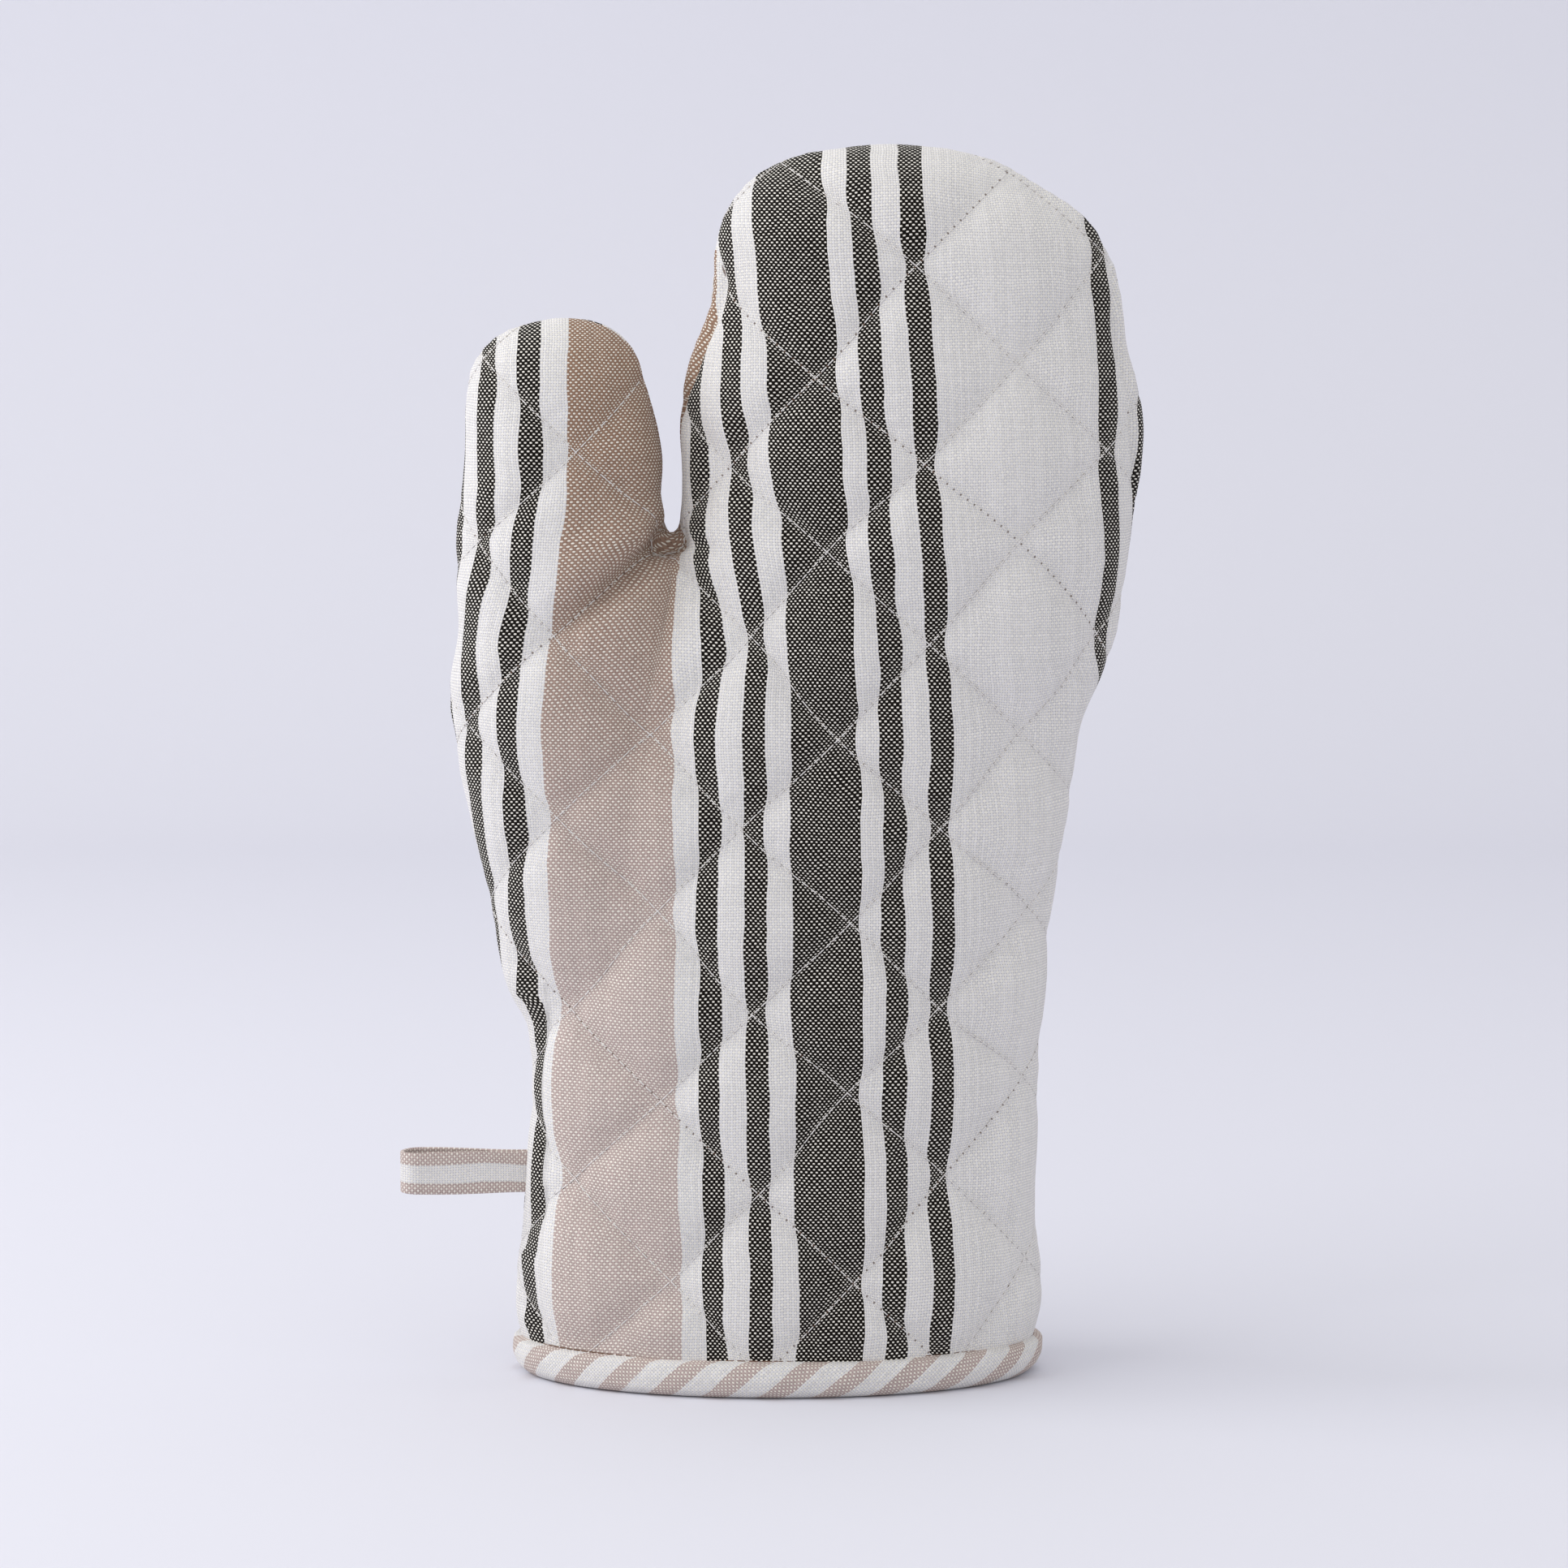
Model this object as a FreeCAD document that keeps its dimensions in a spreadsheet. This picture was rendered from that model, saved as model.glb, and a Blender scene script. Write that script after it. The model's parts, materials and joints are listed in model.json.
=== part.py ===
"""A quilted cotton oven mitt that stands on its cuff.

The row frame: +Z is up towards the fingertips, +X points away from the thumb, -Y is the front.
The origin is the middle of the cuff, on the surface that the mitt stands on. Lengths are millimetres.

The mitt is a sandwich of outer cloth, wadding and lining, quilted through, cut as a front and a back
panel and sewn together round the edge. Every layer lies between two "skins": the same soft outline,
set back by the thickness of what is above it. A skin is a hand loft fused with a thumb loft.
"""

import math
import os

import FreeCAD
import Part

doc = FreeCAD.newDocument("oven_mitt")
sizes = doc.addObject("Spreadsheet::Sheet", "Sizes")

# Driving dimensions: (alias, value). Reaches are measured from the cuff's middle line.
SIZES = [
    ("mitt_height", 320.0),
    # layers and threads
    ("outer_cloth", 0.6),
    ("wadding", 4.6),
    ("lining", 0.5),
    ("quilt_thread", 0.35),
    ("quilt_thread_width", 0.6),
    ("seam_thread", 0.8),
    # the binding folded round the cuff's edge
    ("binding_cloth", 1.1),
    ("binding_height", 10.5),
    ("binding_round", 1.6),
    ("binding_stitch_inset", 1.2),
    # quilted diamonds, corner to corner
    ("diamond_width", 50.0),
    ("diamond_height", 48.0),
    ("quilt_start_x", 6.0),
    ("quilt_start_height", 32.0),
    # hanging loop: a folded tape sewn into the thumb side's seam
    ("loop_tape_width", 11.0),
    ("loop_tape_cloth", 1.2),
    ("loop_length", 32.0),
    ("loop_end_round", 4.6),
    ("loop_pinch_round", 1.45),
    ("loop_clearance", 0.3),
    # the thumb's and the fingers' round ends start at these heights
    ("finger_shoulder", 289.0),
    ("finger_tip_shift", 7.0),
    ("thumb_shoulder", 250.0),
    ("thumb_height", 275.0),
]

# Where the hand part is shaped: height, reach towards the thumb, reach away from it, half depth.
HAND = [
    ("cuff", 0.0, 66.0, 66.0, 38.5),
    ("band", 22.0, 65.4, 66.1, 37.7),
    ("wrist", 52.3, 64.3, 66.1, 36.7),
    ("heel", 112.0, 66.0, 69.3, 35.5),
    ("palm", 150.0, 60.0, 75.0, 35.0),
    ("web", 190.0, 41.0, 84.8, 34.0),
    ("crotch", 217.0, 27.0, 90.4, 33.0),
    ("knuckle", 250.0, 26.0, 93.6, 31.0),
    ("finger", 275.0, 17.0, 88.5, 28.5),
    ("shoulder", None, 14.4, 85.2, 26.0),
]
# The thumb part, shaped the same way. Its reach away from the thumb is negative where it is open.
THUMB = [
    ("root", 66.0, 46.0, 4.0, 15.0),
    ("base", 100.0, 68.2, -4.0, 23.0),
    ("mound", 137.0, 77.0, -10.0, 27.0),
    ("side", 178.0, 83.0, -19.0, 27.0),
    ("fork", 212.0, 81.2, -25.0, 25.2),
    ("joint", 237.0, 80.2, -29.3, 23.5),
    ("tip", None, 79.9, -30.9, 21.5),
]
DOME_ANGLES = (20, 38, 54, 68, 79)  # degrees up a round end, where its sections lie
SHEAR = math.radians(1.4)  # the quilting leans this much from the warp
LARGE = 500.0  # longer than the mitt in any direction


def fill_sheet():
    """Writes each driving dimension to a cell of its own and names it."""
    rows = list(SIZES)
    for part, stations in (("hand", HAND), ("thumb", THUMB)):
        for name, height, near, far, depth in stations:
            if height is not None:
                rows.append((f"{part}_{name}_height", height))
            rows.append((f"{part}_{name}_near", near))
            rows.append((f"{part}_{name}_far", far))
            rows.append((f"{part}_{name}_depth", depth))
    for i, (alias, value) in enumerate(rows, start=1):
        sizes.set(f"A{i}", alias)
        sizes.set(f"B{i}", str(value))
        sizes.setAlias(f"B{i}", alias)
    doc.recompute()


def size(alias):
    return float(sizes.get(alias))


def ellipse(name, width, depth, x, z):
    """A level ellipse whose half width, half depth and centre are expressions."""
    ring = doc.addObject("Part::Ellipse", name)
    ring.setExpression("MajorRadius", width)
    ring.setExpression("MinorRadius", depth)
    ring.setExpression("Placement.Base.x", x)
    ring.setExpression("Placement.Base.z", z)
    return ring


def round_part(part, stations, shoulder, top, shift, set_back, label):
    """One loft, set back from the outline, from its first station up over its round end."""
    rings = []
    for name, height, *_ in stations:
        key = f"Sizes.{part}_{name}"
        z = shoulder if height is None else f"{key}_height"
        rings.append(
            ellipse(
                f"{label}_{part}_{name}",
                f"({key}_near + {key}_far) / 2 - ({set_back})",
                f"{key}_depth - ({set_back})",
                f"({key}_far - {key}_near) / 2",
                z,
            )
        )
    key = f"Sizes.{part}_{stations[-1][0]}"
    for angle in DOME_ANGLES:
        across = math.cos(math.radians(angle))
        up = math.sin(math.radians(angle))
        rings.append(
            ellipse(
                f"{label}_{part}_dome_{angle}",
                f"(({key}_near + {key}_far) / 2 - ({set_back})) * {across:.6f}",
                f"({key}_depth - ({set_back})) * {across:.6f}",
                f"({key}_far - {key}_near) / 2 - {shift} * {up * up:.6f}",
                f"{shoulder} + ({top} - {shoulder} - ({set_back})) * {up:.6f}",
            )
        )
    loft = doc.addObject("Part::Loft", f"{label}_{part}")
    loft.Sections = rings
    loft.Solid = True
    loft.Ruled = False
    loft.MaxDegree = 2
    return loft


def hand_loft(set_back, label):
    return round_part(
        "hand", HAND, "Sizes.finger_shoulder", "Sizes.mitt_height",
        "Sizes.finger_tip_shift", set_back, label,
    )


def thumb_loft(set_back, label):
    return round_part(
        "thumb", THUMB, "Sizes.thumb_shoulder", "Sizes.thumb_height",
        "0", set_back, label,
    )


def combine(kind, base, tool, name):
    """Part::Cut or Part::Common of two objects."""
    made = doc.addObject(kind, name)
    made.Base = base
    made.Tool = tool
    return made


def skin(set_back, label):
    """The closed outline of hand and thumb together, set back by an expression."""
    both = doc.addObject("Part::MultiFuse", f"{label}_skin")
    both.Shapes = [hand_loft(set_back, label), thumb_loft(set_back, label)]
    return both


def slab(name, low, high):
    """A box between two corners, whose z values are expressions and the rest numbers."""
    box = doc.addObject("Part::Box", name)
    box.Length = high[0] - low[0]
    box.Width = high[1] - low[1]
    box.setExpression("Height", f"({high[2]}) - ({low[2]})")
    box.Placement.Base = FreeCAD.Vector(low[0], low[1], 0)
    box.setExpression("Placement.Base.z", low[2])
    return box


def halves(layer, bottom, name, gap=0.0):
    """The front and back halves of a layer, from a height upwards, as two named sub-parts."""
    side = {"front": (-LARGE, -gap / 2), "back": (gap / 2, LARGE)}
    made = []
    for which, (y_low, y_high) in side.items():
        room = slab(
            f"{which}_room_{name}", (-LARGE, y_low, bottom), (LARGE, y_high, f"{LARGE}")
        )
        made.append(combine("Part::Common", layer, room, f"{which}_{name}"))
    return made


def quilting_lines():
    """The lattice of stitched lines: thin walls through the mitt along both diagonals."""
    width, height = size("diamond_width"), size("diamond_height")
    rise = math.atan2(height, width)
    pitch = width * math.sin(rise)
    thick = size("quilt_thread_width")
    start = FreeCAD.Vector(size("quilt_start_x"), 0, size("quilt_start_height"))
    reach = math.ceil(size("mitt_height") / pitch)
    walls = []
    for lean in (rise - SHEAR, -rise - SHEAR):
        across = FreeCAD.Vector(-math.sin(lean), 0, math.cos(lean))
        turn = FreeCAD.Rotation(FreeCAD.Vector(0, 1, 0), -math.degrees(lean))
        for k in range(-reach, reach + 1):
            wall = Part.makeBox(2 * LARGE, 2 * LARGE, thick)
            wall.translate(FreeCAD.Vector(-LARGE, -LARGE, -thick / 2))
            wall.Placement = FreeCAD.Placement(start + across * (k * pitch), turn).multiply(
                wall.Placement
            )
            walls.append(wall)
    lattice = doc.addObject("Part::Feature", "quilting_lattice")
    lattice.Shape = walls[0].multiFuse(walls[1:])
    return lattice


def near_cuff(reach, height):
    """An expression for a reach of the hand part between the cuff and the band above it."""
    cuff, band = f"Sizes.hand_cuff_{reach}", f"Sizes.hand_band_{reach}"
    return f"({cuff} + ({band} - {cuff}) * ({height}) / Sizes.hand_band_height)"


def cuff_loft(rings, name):
    """A straight-sided loft round the cuff through rings of (set back, height)."""
    sections = []
    for number, (set_back, height) in enumerate(rings):
        near, far = near_cuff("near", height), near_cuff("far", height)
        sections.append(
            ellipse(
                f"{name}_ring_{number}",
                f"({near} + {far}) / 2 - ({set_back})",
                f"{near_cuff('depth', height)} - ({set_back})",
                f"({far} - {near}) / 2",
                height,
            )
        )
    loft = doc.addObject("Part::Loft", name)
    loft.Sections = sections
    loft.Solid = True
    loft.Ruled = True
    return loft


def rolled_loft(set_back, side, name):
    """A cuff loft whose foot is rounded: side is 1 for an outside and -1 for a hollow."""
    rings = []
    for angle in (0, 30, 60, 90):
        turn = math.radians(angle)
        inset = f"{side * (1 - math.sin(turn)):.6f} * Sizes.binding_round"
        height = f"{1 - math.cos(turn):.6f} * Sizes.binding_round"
        rings.append((f"{set_back} + {inset}", height))
    rings.append((set_back, "Sizes.binding_height"))
    return cuff_loft(rings, name)


def binding(total, outside, inside):
    """A strip folded round the cuff's edge, with a rounded fold and a flat foot.

    Its hollow is the mitt's own wall, so it lies close on both faces of the cloth.
    """
    cloth = "Sizes.binding_cloth"
    ring = combine(
        "Part::Cut",
        rolled_loft(f"-{cloth}", 1, "binding_out"),
        rolled_loft(f"{total} + {cloth}", -1, "binding_in"),
        "binding_ring",
    )
    wall = combine("Part::Cut", outside, inside, "bound_wall")
    room = slab(
        "bound_room", (-LARGE, -LARGE, cloth), (LARGE, LARGE, "Sizes.binding_height + 1")
    )
    edge = combine("Part::Common", wall, room, "bound_edge")
    return combine("Part::Cut", ring, edge, "cuff_binding")


def binding_stitches(total):
    """A line of stitching round the binding, near its upper edge, on both of its faces."""
    face = "Sizes.binding_cloth"
    thread = f"{face} + Sizes.quilt_thread"
    top = "Sizes.binding_height - Sizes.binding_stitch_inset"
    heights = (f"{top} - Sizes.quilt_thread_width", top)
    rings = []
    for outer, inner, name in (
        (f"-({thread})", f"-{face}", "outer_stitches"),
        (f"{total} + {face}", f"{total} + {thread}", "inner_stitches"),
    ):
        whole = cuff_loft([(outer, height) for height in heights], f"{name}_whole")
        hollow = cuff_loft([(inner, height) for height in heights], f"{name}_hollow")
        rings.append(combine("Part::Cut", whole, hollow, name))
    stitches = doc.addObject("Part::Compound", "binding_stitch_thread")
    stitches.Links = rings
    return stitches


def loop_outline(sketch, root, tip, root_round, tip_round):
    """A drop shape: a small root arc, a larger tip arc and the two lines that touch both."""
    lean = math.asin((tip_round - root_round) / (root.x - tip.x))
    facing = math.pi / 2 - lean
    up = FreeCAD.Vector(0, 0, 1)
    sketch.addGeometry(
        Part.ArcOfCircle(Part.Circle(root, up, root_round), -facing, facing)
    )
    sketch.addGeometry(
        Part.ArcOfCircle(Part.Circle(tip, up, tip_round), facing, 2 * math.pi - facing)
    )
    for side in (1, -1):
        normal = FreeCAD.Vector(math.cos(facing), side * math.sin(facing), 0)
        sketch.addGeometry(
            Part.LineSegment(root + normal * root_round, tip + normal * tip_round)
        )


def hanging_loop():
    """A tape folded on itself: two straight runs from the seam, a round end, an open eye.

    Its middle is level with the wrist station, so its root meets the seam there.
    """
    tape = size("loop_tape_cloth")
    pinch = size("loop_pinch_round")
    end = size("loop_end_round")
    gap = size("quilt_thread") + size("loop_clearance")
    root = FreeCAD.Vector(-(size("hand_wrist_near") + gap + pinch), 0, 0)
    tip = FreeCAD.Vector(root.x - size("loop_length") + pinch + end, 0, 0)
    body = doc.addObject("PartDesign::Body", "hanging_loop")
    plane = next(f for f in body.Origin.OriginFeatures if f.Role == "XY_Plane")
    sketch = body.newObject("Sketcher::SketchObject", "loop_outline")
    sketch.AttachmentSupport = [(plane, "")]
    sketch.MapMode = "FlatFace"
    loop_outline(sketch, root, tip, pinch, end)
    loop_outline(sketch, root, tip, pinch - tape, end - tape)
    pad = body.newObject("PartDesign::Pad", "loop_tape")
    pad.Profile = sketch
    pad.setExpression("Length", "Sizes.loop_tape_width")
    body.setExpression(
        "Placement.Base.z", "Sizes.hand_wrist_height - Sizes.loop_tape_width / 2"
    )
    print(f"the hanging loop turns about x = {root.x:.3f}, y = 0")
    return body


def build():
    """Makes every sub-part and returns them by name."""
    cloth = "Sizes.outer_cloth"
    padded = f"{cloth} + Sizes.wadding"
    total = f"{padded} + Sizes.lining"
    outside = skin("0", "outside")
    under_cloth = skin(cloth, "under_cloth")
    seam_inner = skin(f"{cloth} + Sizes.seam_thread", "seam_inner")
    under_wadding = skin(padded, "under_wadding")
    inside = skin(total, "inside")
    over_thread = skin("-Sizes.quilt_thread", "over_thread")
    under_thread = skin(f"{total} + Sizes.quilt_thread", "under_thread")

    outer_layer = combine("Part::Cut", outside, under_cloth, "outer_layer")
    wadding_layer = combine("Part::Cut", under_cloth, under_wadding, "wadding_layer")
    lining_layer = combine("Part::Cut", under_wadding, inside, "lining_layer")
    fold = "Sizes.binding_cloth"
    seam_width = size("seam_thread")
    parts = halves(outer_layer, fold, "outer_cloth")
    parts += halves(wadding_layer, fold, "wadding", seam_width)
    parts += halves(lining_layer, fold, "lining")

    lattice = quilting_lines()
    top_layer = combine("Part::Cut", over_thread, outside, "top_thread_layer")
    bobbin_layer = combine("Part::Cut", inside, under_thread, "bobbin_thread_layer")
    for layer, name in ((top_layer, "quilting_thread"), (bobbin_layer, "bobbin_thread")):
        net = combine("Part::Common", layer, lattice, f"{name}_net")
        parts += halves(net, "Sizes.binding_height", name)

    seam_layer = combine("Part::Cut", under_cloth, seam_inner, "seam_layer")
    seam_room = slab(
        "seam_room",
        (-LARGE, -seam_width / 2, "Sizes.binding_height"),
        (LARGE, seam_width / 2, f"{LARGE}"),
    )
    parts.append(combine("Part::Common", seam_layer, seam_room, "side_seam_thread"))

    parts.append(binding(total, outside.Shapes[0], inside.Shapes[0]))
    parts.append(binding_stitches(total))
    parts.append(hanging_loop())
    return parts


def check_and_write(parts):
    """Stops on a failed feature or a bad shape, then writes one STEP file for each sub-part."""
    doc.recompute()
    for item in doc.Objects:
        if "Invalid" in item.State or "Error" in item.State:
            raise RuntimeError(f"{item.Name} failed: {item.State}")
    for item in parts:
        if item.Shape.isNull() or not item.Shape.isValid() or not item.Shape.Solids:
            raise RuntimeError(f"{item.Name} has no valid solid")
    os.makedirs("parts", exist_ok=True)
    for item in parts:
        item.Label = item.Name
        item.Shape.exportStep(os.path.join("parts", f"{item.Label}.step"))
        box = item.Shape.BoundBox
        print(
            f"{item.Label}: {len(item.Shape.Solids)} solids, {item.Shape.Volume:.0f} mm3,"
            f" x {box.XMin:.1f}..{box.XMax:.1f}, y {box.YMin:.1f}..{box.YMax:.1f},"
            f" z {box.ZMin:.1f}..{box.ZMax:.1f}"
        )


fill_sheet()
check_and_write(build())
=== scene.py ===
# %% [markdown]
# # A quilted oven mitt
#
# The mitt is sewn from a front and a back panel. Each panel is a sandwich: striped plain-weave cotton
# outside, wadding in the middle and a plain cotton lining inside, stitched through in diamonds. A bias
# strip binds the open cuff, and a folded tape in the side seam makes a loop to hang it by.
#
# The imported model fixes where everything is. This script dresses it: it starts from that frame, builds
# the cloth pieces around it and gives each one its weave.

import json
import math

import bmesh
import bpy
import numpy as np
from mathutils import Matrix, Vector, noise
from mathutils.bvhtree import BVHTree
from mathutils.kdtree import KDTree


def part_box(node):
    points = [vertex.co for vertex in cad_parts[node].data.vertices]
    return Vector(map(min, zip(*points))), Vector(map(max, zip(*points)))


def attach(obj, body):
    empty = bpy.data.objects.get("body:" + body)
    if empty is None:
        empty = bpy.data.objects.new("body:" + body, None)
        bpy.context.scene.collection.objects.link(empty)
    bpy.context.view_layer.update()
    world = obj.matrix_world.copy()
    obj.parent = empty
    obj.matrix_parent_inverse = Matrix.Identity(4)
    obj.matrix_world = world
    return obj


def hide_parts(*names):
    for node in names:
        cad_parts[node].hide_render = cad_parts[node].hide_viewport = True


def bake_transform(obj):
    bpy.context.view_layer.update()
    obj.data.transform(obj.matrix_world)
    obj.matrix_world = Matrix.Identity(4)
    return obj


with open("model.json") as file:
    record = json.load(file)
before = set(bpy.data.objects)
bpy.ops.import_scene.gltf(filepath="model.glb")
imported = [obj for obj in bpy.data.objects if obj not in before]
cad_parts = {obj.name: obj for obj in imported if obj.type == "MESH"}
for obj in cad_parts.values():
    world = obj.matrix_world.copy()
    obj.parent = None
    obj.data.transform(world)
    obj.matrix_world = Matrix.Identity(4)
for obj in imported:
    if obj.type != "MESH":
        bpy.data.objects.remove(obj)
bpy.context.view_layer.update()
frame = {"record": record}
MM = 0.001

# %% [markdown]
# ## Working in millimetres
#
# Cloth is easiest to think about in millimetres, so shapes are worked out as arrays of points in
# millimetres and scaled once, when they are put into a mesh. Small helpers do that for every piece:
# they make an object, read its points, write them back, and give it a UV map.


# %% Helpers for pieces and points
def new_object(name, data):
    """Puts a mesh, a curve, a light or a camera into the scene."""
    made = bpy.data.objects.new(name, data)
    bpy.context.scene.collection.objects.link(made)
    return made


def new_piece(name, bm):
    """A finished bmesh becomes an object at the origin, with smooth shading."""
    mesh = bpy.data.meshes.new(name)
    bm.to_mesh(mesh)
    bm.free()
    mesh.shade_smooth()
    return new_object(name, mesh)


def read_points(mesh, what="vertices"):
    """Vertex places in millimetres, or vertex normals."""
    if what == "normals":
        data, field, count, unit = mesh.vertex_normals, "vector", len(mesh.vertices), 1.0
    else:
        data, field, count, unit = mesh.vertices, "co", len(mesh.vertices), MM
    flat = np.empty(count * 3, dtype=np.float32)
    data.foreach_get(field, flat)
    return flat.reshape(-1, 3).astype(float) / unit


def write_points(mesh, points):
    """Moves the vertices to places given in millimetres."""
    mesh.vertices.foreach_set("co", (points * MM).astype(np.float32).ravel())
    mesh.update()


def write_map(mesh, name, values):
    """Gives a mesh a UV map from one pair of values for each vertex."""
    corners = np.empty(len(mesh.loops), dtype=np.int32)
    mesh.loops.foreach_get("vertex_index", corners)
    layer = mesh.uv_layers.new(name=name)
    layer.data.foreach_set("uv", values[corners].astype(np.float32).ravel())


def running_length(*columns):
    """Length along a line up to each of its points, from the columns of their coordinates."""
    steps = np.sqrt(sum(np.diff(column) ** 2 for column in columns))
    return np.concatenate([[0], np.cumsum(steps)])


def smoothed(line, kernel, slope_low=0.0, slope_high=0.0):
    """A curve averaged by a kernel, after it is carried on straight past both ends."""
    steps = np.arange(1, len(kernel) // 2 + 1)
    before, after = line[0] - slope_low * steps[::-1], line[-1] + slope_high * steps
    return np.convolve(np.concatenate([before, line, after]), kernel / kernel.sum(), mode="valid")


def ease(value, low, high):
    """0 below low, 1 above high and a smooth step between them."""
    share = np.clip((np.asarray(value, dtype=float) - low) / (high - low), 0, 1)
    return share * share * (3 - 2 * share)


def ripple(points, length, seed):
    """Smooth noise from -1 to 1 whose bumps are about `length` millimetres across."""
    shift = Vector((seed * 7.3, seed * 3.1, seed * 5.7))
    return np.array([noise.noise(Vector(point) / length + shift) for point in points])


# %% [markdown]
# ## The stuffed outline
#
# An empty mitt that stands up is two soft tubes grown together: a wide hand and a narrow thumb. Each is
# described by its level sections, which are ellipses, at a few heights: how far the section reaches
# towards the thumb, how far the other way, and its half depth. Between the heights the values are
# joined by a smooth curve, so the sides have no corners.

# %% Stations of the hand and of the thumb
FINGER_TIP, FINGER_SHOULDER = 318.9, 289.0
THUMB_TIP, THUMB_SHOULDER = 275.0, 250.0
FORK = 220.0

# level, reach towards the thumb, reach away from it, half depth; above the shoulder the levels are
# evenly spaced on the curve over the tip
HAND = np.array([
    (-20.0, 66.0, 66.0, 38.5),
    (0.0, 66.0, 66.0, 38.5),
    (22.0, 69.2, 71.0, 37.7),
    (52.0, 65.3, 68.1, 36.7),
    (82.0, 65.0, 69.0, 36.0),
    (112.0, 66.0, 70.9, 35.5),
    (131.0, 63.0, 73.9, 35.3),
    (150.0, 60.0, 76.6, 35.0),
    (170.0, 51.0, 78.1, 34.5),
    (190.0, 41.0, 88.4, 34.0),
    (206.0, 31.0, 90.8, 33.4),
    (222.0, 25.0, 92.6, 33.0),
    (235.0, 23.9, 94.6, 32.0),
    (248.0, 25.6, 94.7, 31.0),
    (258.0, 25.2, 93.4, 30.0),
    (267.0, 22.0, 89.4, 29.0),
    (277.0, 17.4, 89.6, 28.0),
    (289.0, 17.1, 88.0, 26.0),
    (294.1, 17.3, 84.1, 25.1),
    (299.1, 13.2, 77.1, 22.5),
    (304.2, 8.3, 64.4, 18.4),
    (309.3, 2.0, 60.0, 13.0),
    (314.3, -8.0, 46.0, 6.7),
    (318.9, -27.0, 27.0, 0.0),
])
THUMB = np.array([
    (60.0, 40.0, 4.0, 12.0),
    (66.0, 46.0, 4.0, 15.0),
    (83.0, 60.0, 0.0, 19.0),
    (100.0, 70.9, -4.0, 23.0),
    (119.0, 74.5, -7.0, 25.0),
    (137.0, 77.3, -10.0, 27.0),
    (158.0, 82.9, -14.0, 27.0),
    (178.0, 85.7, -19.0, 27.0),
    (195.0, 81.5, -22.0, 26.2),
    (212.0, 83.1, -25.0, 25.2),
    (225.0, 82.6, -30.5, 24.5),
    (237.0, 80.7, -29.4, 23.5),
    (250.0, 80.5, -31.4, 21.5),
    (254.1, 81.0, -32.0, 20.8),
    (258.2, 80.5, -33.5, 18.6),
    (262.3, 77.1, -35.9, 15.2),
    (266.3, 71.0, -40.0, 10.8),
    (270.4, 65.5, -44.5, 5.6),
    (275.0, 54.0, -54.0, 0.0),
])


def section(stations, level):
    """Reach towards the thumb, reach away from it and half depth at some levels, smoothed."""
    grid = np.arange(stations[0, 0], stations[-1, 0] + 0.5, 0.5)
    kernel = np.exp(-0.5 * (np.arange(-16, 17) / 6.0) ** 2)
    columns = []
    for column in stations.T[1:]:
        line = np.interp(grid, stations[:, 0], column)
        curve = smoothed(line, kernel, line[1] - line[0], line[-1] - line[-2])
        columns.append(np.interp(level, grid, curve))
    return columns


def stuffed_tube(name, stations, tip, shoulder, set_in=0.0):
    """A closed tube: a unit sphere whose rings are moved to the stations' sections."""
    bm = bmesh.new()
    bmesh.ops.create_uvsphere(bm, u_segments=96, v_segments=120, radius=1.0)
    tube = new_piece(name, bm)
    unit = read_points(tube.data) * MM
    up = np.arccos(np.clip(-unit[:, 2], -1, 1)) / math.pi
    around = np.arctan2(unit[:, 1], unit[:, 0])
    level = stations[0, 0] + (tip - stations[0, 0]) * up
    near, far, depth = (reach - set_in for reach in section(stations, level))
    closed = np.clip(up / 0.02, 0, 1) * np.clip((1 - up) / 0.004, 0, 1)
    turn = np.clip((level - shoulder) / (tip - shoulder), 0, 1) * math.pi / 2
    points = np.stack(
        [
            (far - near) / 2 + np.maximum(near + far, 0) / 2 * closed * np.cos(around),
            np.maximum(depth, 0) * closed * np.sin(around),
            np.minimum(level, shoulder) + (tip - set_in - shoulder) * np.sin(turn),
        ],
        axis=1,
    )
    write_points(tube.data, points)
    return tube


def voxel_union(pieces, name, voxel):
    """Several closed pieces become one even skin of squares about a voxel across."""
    bm = bmesh.new()
    for part in pieces:
        bm.from_mesh(part.data)
        bpy.data.objects.remove(part)
    whole = new_piece(name, bm)
    remesh = whole.modifiers.new("even squares", "REMESH")
    remesh.mode = "VOXEL"
    remesh.voxel_size = voxel * MM
    seen = whole.evaluated_get(bpy.context.evaluated_depsgraph_get())
    skin = bpy.data.meshes.new_from_object(seen)
    whole.modifiers.clear()
    whole.data = skin
    return whole


def relax(mesh, times):
    """Evens out a skin by moving each vertex towards its neighbours."""
    bm = bmesh.new()
    bm.from_mesh(mesh)
    for _ in range(times):
        bmesh.ops.smooth_vert(
            bm, verts=bm.verts, factor=0.5, use_axis_x=True, use_axis_y=True, use_axis_z=True
        )
    bm.to_mesh(mesh)
    bm.free()


def stuffed_mitt(name, voxel, times, set_in=0.0):
    """Hand and thumb grown together into one even, relaxed skin."""
    hand = stuffed_tube("hand", HAND, FINGER_TIP, FINGER_SHOULDER, set_in)
    thumb = stuffed_tube("thumb", THUMB, THUMB_TIP, THUMB_SHOULDER, set_in)
    skin = voxel_union([hand, thumb], name, voxel)
    relax(skin.data, times)
    return skin


SKIN_STEP = 1.3
stuffed = stuffed_mitt("stuffed", SKIN_STEP, 12)
print("skin:", len(stuffed.data.polygons), "faces")

# %% [markdown]
# ## The cloth's own coordinates
#
# Stripes, weave and quilting all follow the cloth, not the room. So each point of the skin gets two
# coordinates in millimetres of cloth: u across the stripes and v along them. Eight warp threads, at the
# edges of stripes, are laid first, as a sewer would pin them. Between them u grows with the length
# along the level section.

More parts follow.
